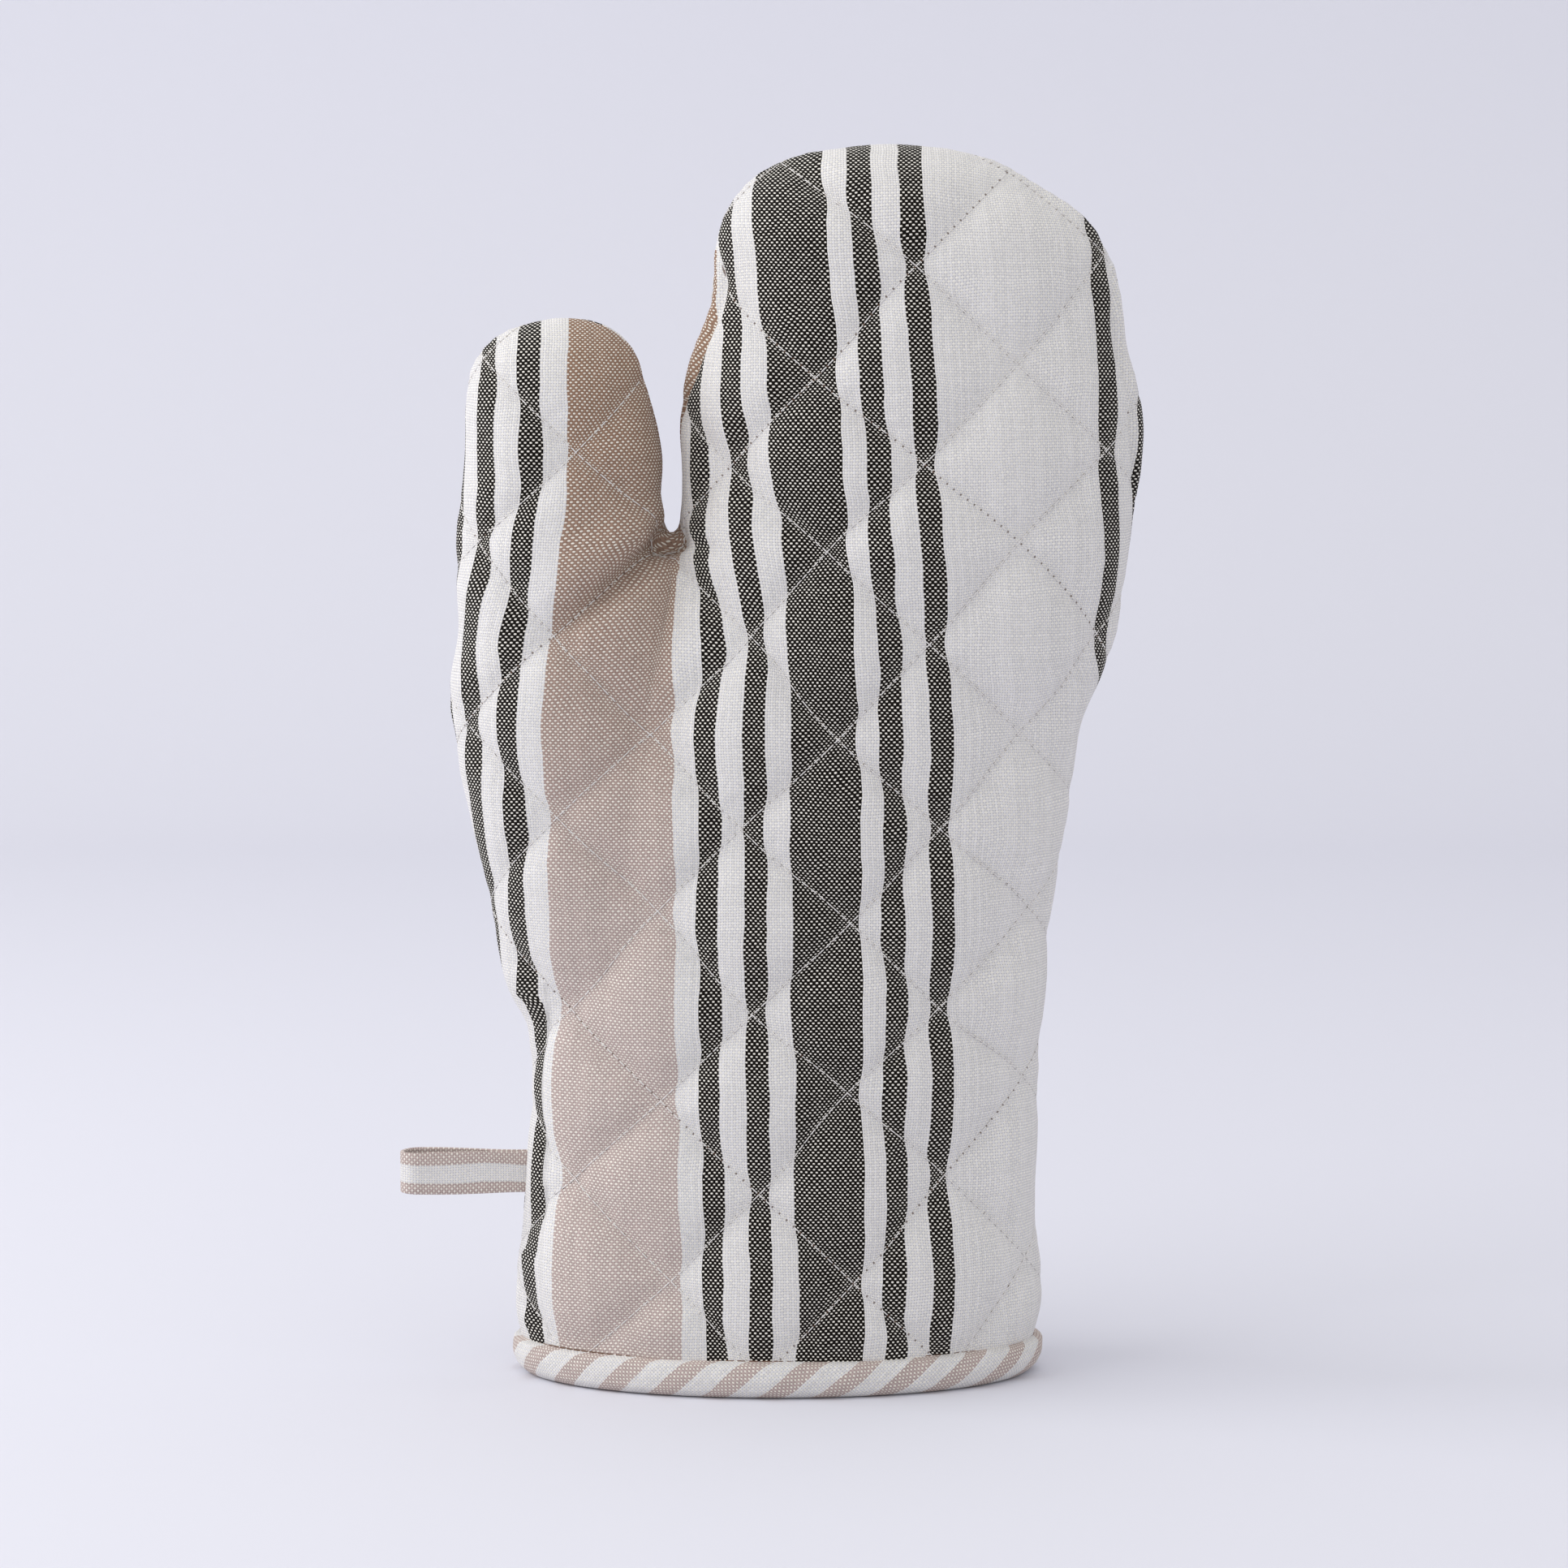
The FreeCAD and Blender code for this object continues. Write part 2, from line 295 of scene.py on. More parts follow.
# %% Guide threads
# u of each guide thread, and where it lies across the mitt at some heights
THREADS = np.array([-83.9, -71.8, -39.3, -27.0, -8.8, 8.8, 32.3, 76.8])
GUIDES = np.array([
    (0, -66.4, -57.4, -24.9, -13.6, 4.8, 21.4, 44.3, 84.3),
    (25, -66.2, -57.4, -24.9, -13.6, 4.8, 21.4, 44.3, 84.3),
    (108, -68.5, -57.8, -26.6, -15.0, 3.3, 20.9, 44.2, 84.2),
    (171, -71.7, -60.2, -27.0, -15.1, 2.9, 20.0, 43.9, 83.9),
    (191, -71.5, -59.0, -26.2, -13.5, 2.7, 18.9, 43.2, 81.6),
    (212, -67.8, -55.9, -24.9, -16.5, 1.5, 17.9, 42.2, 82.6),
    (232, -65.9, -53.8, -27.0, -18.0, -0.8, 16.4, 40.4, 82.0),
    (253, -66.2, -53.7, -27.0, -20.0, -2.8, 15.2, 39.7, 81.3),
    (273, -66.5, -53.7, -27.0, -17.8, -4.3, 14.0, 38.5, 80.7),
    (294, -66.5, -53.7, -27.0, -19.2, -5.7, 12.1, 37.1, 79.6),
    (308, -66.5, -53.7, -27.0, -20.7, -7.2, 11.2, 36.3, 77.8),
    (320, -66.5, -53.7, -27.0, -20.7, -7.2, 11.2, 36.3, 77.8),
])
FLATNESS = 0.75  # cloth is flatter across than the stuffed section
WEB_DEPTH = 20.0  # half depth of the web that joins thumb and hand below the fork
WEB_ACROSS = (-60, 0)
THUMB_THREADS = THREADS < -36
EDGE_MARGIN = 1.5  # guide threads nearer to a section's ends than this aren't used
LOOSE = 0.8  # across the fork the cloth is drawn together
FORK_ACROSS = -28.0
SADDLE_REACH, SADDLE_RISE = 7.0, 6.0  # where the cloth runs front to back over the fork


def lobe_arc(stations, height, low, high):
    """Places across one lobe and how far out its section stands there."""
    near, far, depth = section(stations, height)
    middle, half = (far - near) / 2, (far + near) / 2
    across = low + (high - low) * (1 - np.cos(np.linspace(0, math.pi, 200))) / 2
    share = np.clip((across - middle) / half, -1, 1)
    return across, depth * np.sqrt(1 - share**2)


def section_row(height, lobe):
    """Places across the section at a height, and u there, for the palm, the hand or the thumb."""
    hand_level = min(height, FINGER_SHOULDER)
    thumb_level = min(max(height, THUMB[0, 0]), THUMB_SHOULDER)
    hand_near, hand_far, _ = section(HAND, hand_level)
    thumb_near, thumb_far, _ = section(THUMB, thumb_level)
    if lobe == "palm":
        has_thumb = height > THUMB[1, 0]
        low = -max(hand_near, thumb_near if has_thumb else 0)
        across, depth = lobe_arc(HAND, hand_level, low, hand_far)
        if has_thumb:
            depth = np.maximum(depth, lobe_arc(THUMB, thumb_level, low, hand_far)[1])
        least = WEB_DEPTH * (1 - ease(height, FORK - 30, FORK))
        in_web = (across > WEB_ACROSS[0]) & (across < WEB_ACROSS[1])
        depth = np.where(in_web, np.maximum(depth, least), depth)
    elif lobe == "hand":
        across, depth = lobe_arc(HAND, hand_level, -hand_near, hand_far)
    else:
        across, depth = lobe_arc(THUMB, thumb_level, -thumb_near, thumb_far)
    length = running_length(across, depth * FLATNESS)
    places = np.array([np.interp(height, GUIDES[:, 0], column) for column in GUIDES.T[1:]])
    usable = (places > across[0] + EDGE_MARGIN) & (places < across[-1] - EDGE_MARGIN)
    if lobe != "palm":
        usable &= THUMB_THREADS == (lobe == "thumb")
    threads, held = THREADS[usable], np.interp(places[usable], across, length)
    loose = LOOSE + (1 - LOOSE) * ease(height, FORK, FORK + 25)
    before = threads[0] - (held[0] - length) * (loose if lobe == "hand" else 1.0)
    after = threads[-1] + (length - held[-1]) * (loose if lobe == "thumb" else 1.0)
    u = np.interp(length, held, threads)
    return across, np.where(length < held[0], before, np.where(length > held[-1], after, u))


def is_thumb(points):
    """True for points of the thumb above the fork."""
    middle = -27.5 - 2.0 * ease(points[:, 2], 232, 262)
    return (points[:, 2] >= FORK) & (points[:, 0] < middle)


def cloth_u(points):
    """Length across the stripes, from the hand's guide thread, at every point."""
    u = np.zeros(len(points))
    thumb = is_thumb(points)
    palm = points[:, 2] < FORK
    step = 2.0
    for lobe, member in (("palm", palm), ("thumb", thumb), ("hand", ~thumb & ~palm)):
        rows = np.floor(points[:, 2] / step).astype(int)
        for row in np.unique(rows[member]):
            chosen = member & (rows == row)
            x, z = points[chosen, 0], points[chosen, 2]
            values = []
            for height in (row * step, (row + 1) * step):
                across, along = section_row(float(height), lobe)
                inside = np.interp(x, across, along)
                inside += np.minimum(x - across[0], 0) + np.maximum(x - across[-1], 0)
                values.append(inside)
            share = z / step - row
            u[chosen] = values[0] * (1 - share) + values[1] * share
    return u


def cloth_v(points):
    """Height, but along the curve where a tip rounds over and where the fork runs front to back."""
    v = points[:, 2].copy()
    for member, shoulder, tip, depth in (
        (~is_thumb(points), FINGER_SHOULDER, FINGER_TIP, 26.0),
        (is_thumb(points), THUMB_SHOULDER, THUMB_TIP, 21.5),
    ):
        turn = np.linspace(0, math.pi / 2, 60)
        rise, fall = (tip - shoulder) * np.sin(turn), depth * np.cos(turn) * FLATNESS
        above = member & (v > shoulder)
        v[above] = shoulder + np.interp(v[above] - shoulder, rise, running_length(rise, fall))
    from_fork = np.hypot(points[:, 0] - FORK_ACROSS, points[:, 2] - FORK)
    saddle = np.exp(-((from_fork / SADDLE_REACH) ** 2))
    return v + saddle * np.maximum(SADDLE_RISE - np.abs(points[:, 1]), 0)


def cloth_places(points):
    """Both cloth coordinates of every point."""
    return np.stack([cloth_u(points), cloth_v(points)], axis=1)


base = read_points(stuffed.data)
outward = read_points(stuffed.data, "normals")
cloth = cloth_places(base)
print("cloth spans u", cloth[:, 0].min().round(1), cloth[:, 0].max().round(1))

# %% [markdown]
# ## Quilting
#
# Two families of straight stitched lines cross in the cloth. Along a line the stitches pull the outer
# cloth down to the lining, and between lines the wadding pushes it up, so every diamond is a pillow.

# %% Quilting lines
DIAMOND = (50.4, 48.0)  # corner to corner, across and along the stripes
QUILT_START = (5.0, 29.0)  # one crossing, in cloth coordinates
LINE_GAP = 1 / math.hypot(1 / DIAMOND[0], 1 / DIAMOND[1])

# (column, row) of a crossing, and how far it lies from its place in an even grid, across and along
WANDER = np.array([
    (-3, 1, 3.5, 1.2), (-3, 3, 2.7, -3.5), (-3, 5, 1.6, -1.2), (-3, 7, 0.2, -2.5), (-3, 9, 1.8, -3.9),
    (-2, 0, 3.7, 0.6), (-2, 2, 1.8, -1.2), (-2, 4, 1.8, -0.2), (-2, 6, 0.4, -3.7),
    (-1, 1, 2.7, -0.6), (-1, 3, 1.8, -2.7), (-1, 5, -1.2, -3.1), (-1, 7, 1.6, -2.1), (-1, 9, 0, -8.0),
    (0, 0, 2.2, 0.4), (0, 2, 0.8, 1.9), (0, 4, 2.2, -3.1), (0, 6, -0.8, -4.3), (0, 8, -1.8, -4.7),
    (0, 10, -1.4, -9.1), (0, 12, -6.0, 0),
    (1, 1, 1.8, 3.1), (1, 3, -0.4, -1.9), (1, 5, 0, -3.5), (1, 7, -2.0, -4.3), (1, 9, -0.6, -6.8),
    (1, 11, 0, -4.7),
    (2, 2, 0.4, 2.5), (2, 4, 1.2, -1.4), (2, 6, -3.5, -3.7), (2, 8, -1.8, -2.3), (2, 10, 0, -5.6),
    (3, 9, -0.6, -3.7), (3, 11, 1.8, -1.9),
])
WANDER_REACH = 18.0


def quilting_grid(cloth_points):
    """Cloth coordinates moved so that the wandering quilting lines lie on an even grid."""
    crossings = QUILT_START + WANDER[:, :2] * np.array(DIAMOND) / 2 + WANDER[:, 2:]
    moved = np.zeros_like(cloth_points)
    total = np.full(len(cloth_points), 1e-9)
    for crossing, offset in zip(crossings, WANDER[:, 2:]):
        away = ((cloth_points - crossing) ** 2).sum(axis=1)
        weight = np.exp(-away / WANDER_REACH**2)
        moved += weight[:, None] * offset
        total += weight
    return cloth_points - moved / total[:, None]


def line_offsets(grid_points):
    """Signed distance in millimetres to the nearest stitched line of each family."""
    across, along = ((grid_points - QUILT_START) / DIAMOND).T
    return [(family - np.round(family)) * LINE_GAP for family in (across + along, across - along)]


def pillows(height, reach, first, second):
    """How high cloth stands between the lines, from its distance to each family."""
    return height * (1 - np.exp(-first / reach)) * (1 - np.exp(-second / reach))


def line_distances(grid_points):
    """Distance in millimetres to the nearest stitched line of each family."""
    return [np.abs(away) for away in line_offsets(grid_points)]


# %% [markdown]
# ## Swelling by simulation
#
# Wadding is springy, so between the stitches the cloth swells until it is tight. Blender's cloth
# simulation finds that shape: a coarse copy of the skin is held at its stitched lines, at the seam and
# at the cuff, and air pressure inside blows the rest out. Only how far each point moves is kept, capped,
# and carried over to the fine skin, whose squares would take far too long to simulate.

# %% Simulated swelling
SIM_STEP = 4.5
SIM_FRAMES = 20
SIM_CLOTH = {
    "vertex_group_mass": "stitched",
    "use_pressure": True,
    "uniform_pressure_force": 2000.0,  # pillows this small need far more than a cushion does
    "mass": 0.05,
    "tension_stiffness": 5.0,
    "compression_stiffness": 5.0,
    "shear_stiffness": 1.7,
    "quality": 6,
}
SIM_CAP = 1.8
SIM_REACH = 3.2
SEAM_HELD, CUFF_HELD = 3.0, 14.0  # cloth this near the seam and the cuff doesn't swell


def simulated_swell(points):
    """How far cloth held at its stitching swells at each point, from a coarse simulated copy."""
    coarse = stuffed_mitt("swelling", SIM_STEP, 6)
    start, facing = read_points(coarse.data), read_points(coarse.data, "normals")
    to_line = np.minimum(*line_distances(quilting_grid(cloth_places(start))))
    held = (to_line < SIM_STEP * 0.55) | (np.abs(start[:, 1]) < SEAM_HELD) | (start[:, 2] < CUFF_HELD)
    stitched = coarse.vertex_groups.new(name="stitched")
    stitched.add(np.flatnonzero(held).tolist(), 1.0, "REPLACE")
    fabric = coarse.modifiers.new("cloth", "CLOTH")
    for field, value in SIM_CLOTH.items():
        setattr(fabric.settings, field, value)
    fabric.settings.effector_weights.gravity = 0
    for number in range(1, SIM_FRAMES + 1):
        bpy.context.scene.frame_set(number)
    seen = coarse.evaluated_get(bpy.context.evaluated_depsgraph_get())
    moved = ((read_points(seen.data) - start) * facing).sum(axis=1)
    print("simulated:", len(start), "points,", held.sum(), "held, swell", np.median(moved).round(2))
    swollen = SIM_CAP * np.tanh(np.maximum(moved, 0) / SIM_CAP)
    bpy.data.objects.remove(coarse)
    bpy.context.scene.frame_set(1)
    tree = KDTree(len(start))
    for index, place in enumerate(start):
        tree.insert(place, index)
    tree.balance()
    found = np.zeros(len(points))
    for index, place in enumerate(points):
        near = tree.find_n(place, 6)
        weight = np.exp(-np.array([item[2] for item in near]) ** 2 / SIM_REACH**2)
        found[index] = weight @ swollen[[item[1] for item in near]] / weight.sum()
    return found


# %% [markdown]
# ## What simulation leaves out
#
# Some shapes are narrower than the coarse squares, so they are moved one by one: the sharp valley along
# a stitched line, the ripples that the thread draws up beside it, the folds at the fork, and the groove
# of the side seam, which has rolled towards the front beside the fingers.

# %% Valleys, ripples, folds and the rolled seam
# start and end of each crease, across and up; how deep, how wide, and how high its lip stands
CREASES = (
    ((-27.0, 219.0), (-60.0, 193.0), 5.0, 3.2, 2.0),
    ((-26.0, 217.0), (-9.0, 215.5), 1.6, 2.0, 0.5),
)


def creased(points):
    """Folds that run out from the fork, where the thumb bends forward."""
    total = np.zeros(len(points))
    for start, end, deep, wide, lip in CREASES:
        run = np.array(end) - start
        reach = np.linalg.norm(run)
        run /= reach
        flat = points[:, [0, 2]] - start
        along, away = flat @ run, flat @ np.array([-run[1], run[0]])
        fade = ease(along, -6, 3) * (1 - ease(along, 0.35 * reach, 1.15 * reach))
        valley = -deep * np.exp(-((away / wide) ** 2))
        raised = lip * np.exp(-(((away + 8.0) / 6.0) ** 2))
        total += (valley + raised) * fade
    return total * ease(-points[:, 1], 0, 6)


CUFF_FADE = (4.0, 16.0)  # heights between which relief grows in above the binding
OUTER_ROLL, INNER_ROLL, SEAM_WANDER = 9.0, 8.0, 0.6  # how far the seam rolls forward, and wanders


def seam_place(points):
    """How far the side seam runs in front of the middle plane, where the cloth has rolled."""
    height = points[:, 2]
    outer = ease(points[:, 0], 20, 50)
    outer_roll = outer * ease(height, 212, 245) * (1 - ease(height, 272, 300))
    inner_roll = (1 - outer) * ease(height, 246, 262) * (1 - ease(height, 282, 300))
    inner_roll *= ~is_thumb(points)
    level = points * (0.2, 0.0, 1.0)
    wander = SEAM_WANDER * ripple(level, 38.0, 3) * ease(height, *CUFF_FADE)
    return -OUTER_ROLL * outer_roll - INNER_ROLL * inner_roll + wander


PUCKER_HEIGHT = 0.09
PUCKER_REACH = 1.6


def puckers(grid_points, first, second):
    """Small ripples across each stitched line, where the thread draws the cloth up."""
    total = np.zeros(len(grid_points))
    for sign, away in ((-1, first), (1, second)):
        run = grid_points @ np.array([DIAMOND[0], sign * DIAMOND[1]]) / math.hypot(*DIAMOND)
        wave = np.sin(run / 0.85 + 1.7 * np.sin(run / 9.0))
        total += wave * away / PUCKER_REACH * np.exp(1 - away / PUCKER_REACH)
    return total * PUCKER_HEIGHT


GATHER = 0.55  # extra cloth drawn in on each side of a line
GATHER_REACH = 3.0  # how far from the line most of it lies


def gathered(cloth_points, grid_points):
    """Cloth coordinates, with the extra cloth that each pillow takes up drawn in near its lines."""
    drawn = cloth_points.copy()
    for sign, away in zip((1, -1), line_offsets(grid_points)):
        extra = GATHER * away / GATHER_REACH * np.exp(1 - np.abs(away) / GATHER_REACH)
        drawn += extra[:, None] * np.array([1 / DIAMOND[0], sign / DIAMOND[1]]) * LINE_GAP
    return drawn


# %% The quilted skin
PUFF = 1.9  # how high a pillow would rise far from its lines
VALLEY = 4.6  # how far from a line the cloth has risen by two thirds
SUNK = 1.6  # depth of a stitched line below the stuffed outline
SEAM_DEPTH, SEAM_WIDTH = 1.9, 2.0
above_cuff = ease(base[:, 2], *CUFF_FADE)
seam_y = base[:, 1] - seam_place(base)
grid = quilting_grid(cloth)
first, second = line_distances(grid)
swell = simulated_swell(base)
cloth = gathered(cloth, grid)
seam_groove = -SEAM_DEPTH * np.exp(-((seam_y / SEAM_WIDTH) ** 2))
slack = 1.1 * ripple(base, 55.0, 1) + 0.5 * ripple(base, 17.0, 2)
fine = puckers(grid, first, second)
flatter = 0.45 + 0.55 * ease(np.abs(seam_y), 3.0, 22.0)  # the seam pulls the cloth tight at the sides
raised = pillows(PUFF, VALLEY, first, second) + swell - SUNK
relief = raised * flatter + seam_groove + creased(base) + slack + fine
relief = relief * above_cuff - SUNK / 2 * (1 - above_cuff)  # lower under the binding
quilted = base + outward * relief[:, None]
write_points(stuffed.data, quilted)

# %% [markdown]
# ## Front and back panels
#
# The skin is cut level above the cuff's fold, where the binding covers it, and along the side seam.
# Each half keeps the cloth coordinates as a UV map, so the weave can follow it.

# %% Cut the two panels
CUFF_CUT = 2.0
SIDES = {"front": -1, "back": 1}


def keep_cloth(mesh, **pairs):
    """Stores pairs of coordinates on the mesh's points, where cutting keeps them."""
    for name, values in pairs.items():
        for axis, column in zip("uv", values.T):
            layer = mesh.attributes.new(f"{name}_{axis}", "FLOAT", "POINT")
            layer.data.foreach_set("value", column.astype(np.float32))


def add_map(mesh, name, pair, slide=0.0):
    """Turns a stored pair of coordinates, in millimetres, into a UV map, and returns it."""
    values = np.empty((2, len(mesh.vertices)), dtype=np.float32)
    for axis, column in zip("uv", values):
        mesh.attributes[f"{pair}_{axis}"].data.foreach_get("value", column)
    values[0] += slide
    write_map(mesh, name, values.T)
    return values.T.astype(float)


def cut_panel(skin, name, side, rolled):
    """The half of the skin on one side of the seam, above the cuff's fold.

    The seam wanders, so the skin is sheared until it is flat, cut, and sheared back.
    """
    bm = bmesh.new()
    bm.from_mesh(skin.data)
    shear = bm.verts.layers.float.new("rolled")
    for vertex, shift in zip(bm.verts, rolled * MM):
        vertex[shear] = shift
        vertex.co.y -= shift
    for point, normal in (((0, 0, 0), (0, -side, 0)), ((0, 0, CUFF_CUT * MM), (0, 0, -1))):
        bmesh.ops.bisect_plane(
            bm,
            geom=bm.verts[:] + bm.edges[:] + bm.faces[:],
            dist=1e-7,
            plane_co=point,
            plane_no=normal,
            clear_outer=True,
        )
    for vertex in bm.verts:
        vertex.co.y += vertex[shear]
    return new_piece(name, bm)


keep_cloth(stuffed.data, cloth=cloth, grid=grid)
rolled = seam_place(base)
panels = {side: cut_panel(stuffed, f"{side}_quilted_panel", y, rolled) for side, y in SIDES.items()}
BACK_SLIDE = -15.0  # the back was cut from the next stretch of the cloth
grid_of = {}
for side, panel in panels.items():
    add_map(panel.data, "cloth", "cloth", slide=BACK_SLIDE if side == "back" else 0.0)
    grid_of[side] = add_map(panel.data, "quilting", "grid")
    print(panel.name, len(panel.data.polygons), "faces")
bpy.data.objects.remove(stuffed)

# %% [markdown]
# ## Stitches
#
# Each visible stitch is a short piece of thread that comes up through one needle hole and goes down
# through the next. A curve with a round bevel makes one quickly: four points, the first and last below
# the cloth. To lay stitches along a straight line of the cloth, the panel is flattened into its own
# cloth coordinates, and each stitch's ends are looked up there and carried back to the curved surface.

# %% Laying stitches on a panel
STITCH = 2.5
STITCH_GAP = 0.35
THREAD_RADIUS = 0.16
LINES_EACH_WAY, STITCHES_EACH_WAY = 8, 200  # more than the cloth is wide and long


class FlatPattern:
    """A panel laid out flat by its cloth coordinates, which finds the place on it of a flat point."""

    def __init__(self, mesh, grid_points, keep):
        points = read_points(mesh)
        mesh.calc_loop_triangles()
        corners = np.empty(len(mesh.loop_triangles) * 3, dtype=np.int32)
        mesh.loop_triangles.foreach_get("vertices", corners)
        corners = corners.reshape(-1, 3)
        self.corners = corners[keep(points)[corners].all(axis=1)]
        self.points = points
        self.normals = read_points(mesh, "normals")
        self.flat = np.column_stack([grid_points, np.zeros(len(grid_points))])
        self.tree = BVHTree.FromPolygons(self.flat.tolist(), self.corners.tolist())

    def at(self, flat_point):
        """The place and the outward direction at a flat point, or None off the panel."""
        near = self.tree.find_nearest(Vector((*flat_point, 0.0)), 0.2)
        if near[0] is None:
            return None
        a, b, c = self.corners[near[2]]
        origin = self.flat[a, :2]
        frame_2d = np.array([self.flat[b, :2] - origin, self.flat[c, :2] - origin]).T
        if abs(np.linalg.det(frame_2d)) < 1e-9:
            return None
        share = np.linalg.solve(frame_2d, np.array(near[0][:2]) - origin)
        weights = np.array([1 - share.sum(), share[0], share[1]])
        place = weights @ self.points[[a, b, c]]
        direction = weights @ self.normals[[a, b, c]]
        return place, direction / np.linalg.norm(direction)


def quilting_stitches(pattern):
    """Start and end of every stitch of both families of quilting lines."""
    low = pattern.flat[np.unique(pattern.corners), :2].min(axis=0)
    high = pattern.flat[np.unique(pattern.corners), :2].max(axis=0)
    found = []
    for slope in (1, -1):
        run = np.array([DIAMOND[0], -slope * DIAMOND[1]])
        run /= np.linalg.norm(run)
        for line in range(-LINES_EACH_WAY, LINES_EACH_WAY + 1):
            start = np.array([QUILT_START[0] + line * DIAMOND[0], QUILT_START[1]])
            for number in range(-STITCHES_EACH_WAY, STITCHES_EACH_WAY):
                a = start + run * (number * STITCH)
                if (a < low - 3).any() or (a > high + 3).any():
                    continue
                ends = [pattern.at(a), pattern.at(a + run * (STITCH - STITCH_GAP))]
                if None not in ends:
                    found.append(ends)
    return found


def thread_piece(name, stitches, radius, sink=0.22, rise=0.10):
    """One curve object with a short round thread for each stitch."""
    curve = bpy.data.curves.new(name, "CURVE")
    curve.dimensions = "3D"
    curve.bevel_depth = radius * MM
    curve.bevel_resolution = 1
    curve.use_fill_caps = True
    for (start, start_out), (end, end_out) in stitches:
        if np.linalg.norm(end - start) > 2 * STITCH:
            continue
        spline = curve.splines.new("POLY")
        spline.points.add(3)
        route = (
            start - start_out * sink,
            start * 0.8 + end * 0.2 + start_out * rise,
            start * 0.2 + end * 0.8 + end_out * rise,
            end - end_out * sink,
        )
        for point, place in zip(spline.points, route):
            point.co = (*(place * MM), 1.0)
    print(name, len(curve.splines), "stitches")
    return new_object(name, curve)


def quilting_thread(name, mesh, grid_points):
    """All quilting stitches of a panel. Flat, its two lobes overlap, so each is sewn by itself."""
    stitches = []
    for keep in (lambda points: ~is_thumb(points), is_thumb):
        stitches += quilting_stitches(FlatPattern(mesh, grid_points, keep))
    return thread_piece(name, stitches, THREAD_RADIUS)


quilting_threads = {
    side: quilting_thread(f"{side}_quilting_stitches", panel.data, grid_of[side])
    for side, panel in panels.items()
}

# %% [markdown]
# ## Lining
#
# The lining is the same outline, set in by the thickness of the padding. It shows only through the
# open cuff, so its squares are larger and its quilting is softer.

# %% Two lining panels
PADDING = 5.6
LINING_STEP = 3.0

shell = stuffed_mitt("lining_shell", LINING_STEP, 6, PADDING)
points = read_points(shell.data)
lining_cloth = cloth_places(points)
lining_grid = quilting_grid(lining_cloth)
first, second = line_distances(lining_grid)
hollow = pillows(0.9, 6.5, first, second) - 0.2
points += read_points(shell.data, "normals") * hollow[:, None]
write_points(shell.data, points)
relax(shell.data, 2)
keep_cloth(shell.data, cloth=lining_cloth, grid=lining_grid)
flat_seam = np.zeros(len(points))
linings = {side: cut_panel(shell, f"{side}_lining_cloth", y, flat_seam) for side, y in SIDES.items()}
bobbin_threads = {}
for side, lining in linings.items():
    add_map(lining.data, "cloth", "cloth")
    lining_points = add_map(lining.data, "quilting", "grid")
    lining.data.flip_normals()
    lining.data.update()
    bobbin_threads[side] = quilting_thread(f"{side}_bobbin_stitches", lining.data, lining_points)
bpy.data.objects.remove(shell)

# %% [markdown]
# ## Binding
#
# A strip cut on the bias, 45 degrees to the threads so that it can curve, is folded over the cuff's raw
# edge and sewn down. It is a long grid: one side runs round the cuff, the other goes up the inside,
# round the fold and up the outside. The fold is puffed, and the stitching puckers it a little.

# %% Bound edge
BINDING_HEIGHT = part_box("cuff_binding")[1][2] / MM
BINDING_PROUD = 1.2
PUCKER = 0.28


def cuff_ring(share, set_out, height):
    """Places on a level ring round the cuff, moved out from the cloth's surface."""
    near, far, depth = section(HAND, height)
    turn = share * 2 * math.pi
    across, out = np.cos(turn), np.sin(turn)
    x = (far - near) / 2 + ((near + far) / 2 + set_out) * across
    return np.stack([x, (depth + set_out) * out, height], axis=1)


def ring_length(share):
    """Length round the cuff up to each share of a turn."""
    fine = np.linspace(0, 1, 721)
    ring = cuff_ring(fine, 0.0, np.zeros_like(fine))
    return np.interp(share, fine, running_length(*ring.T))


def binding_profile(share):
    """Set-out and height along the strip, from its inner edge down, round and up outside."""
    inner, outer = -PADDING - BINDING_PROUD, BINDING_PROUD
    corners = np.array([
        (-PADDING + 0.6, BINDING_HEIGHT - 0.1),
        (inner - 0.3, BINDING_HEIGHT - 1.0),
        (inner - 0.6, BINDING_HEIGHT * 0.6),
        (inner - 0.2, 2.2),
        (inner + 1.5, 0.35),
        (-PADDING / 2, 0.0),
        (outer - 1.5, 0.35),
        (outer + 0.5, 2.2),
        (outer + 1.1, BINDING_HEIGHT * 0.5),
        (outer + 0.3, BINDING_HEIGHT - 1.5),
        (-3.2, BINDING_HEIGHT - 0.1),
    ])
    length = running_length(*corners.T)
    fine = np.linspace(0, length[-1], 400)
    at = share * length[-1]
    lines = (smoothed(np.interp(fine, length, column), np.hanning(31)) for column in corners.T)
    return *(np.interp(at, fine, line) for line in lines), at


def shaped_grid(name, columns, rows, shape):
    """A grid whose points (share across, share up) are moved by a function; doubles are merged."""
    bm = bmesh.new()
    bmesh.ops.create_grid(bm, x_segments=columns, y_segments=rows, size=0.5)
    made = new_piece(name, bm)
    unit = read_points(made.data) * MM + 0.5
    across, up = np.clip(unit[:, 0], 0, 1), np.clip(unit[:, 1], 0, 1)
    points, pattern = shape(across, up)
    write_map(made.data, "cloth", pattern)
    write_points(made.data, points)
    bm = bmesh.new()
    bm.from_mesh(made.data)
    bmesh.ops.remove_doubles(bm, verts=bm.verts, dist=0.01 * MM)
    bmesh.ops.recalc_face_normals(bm, faces=bm.faces)
    bm.to_mesh(made.data)
    bm.free()
    made.data.shade_smooth()
    return made


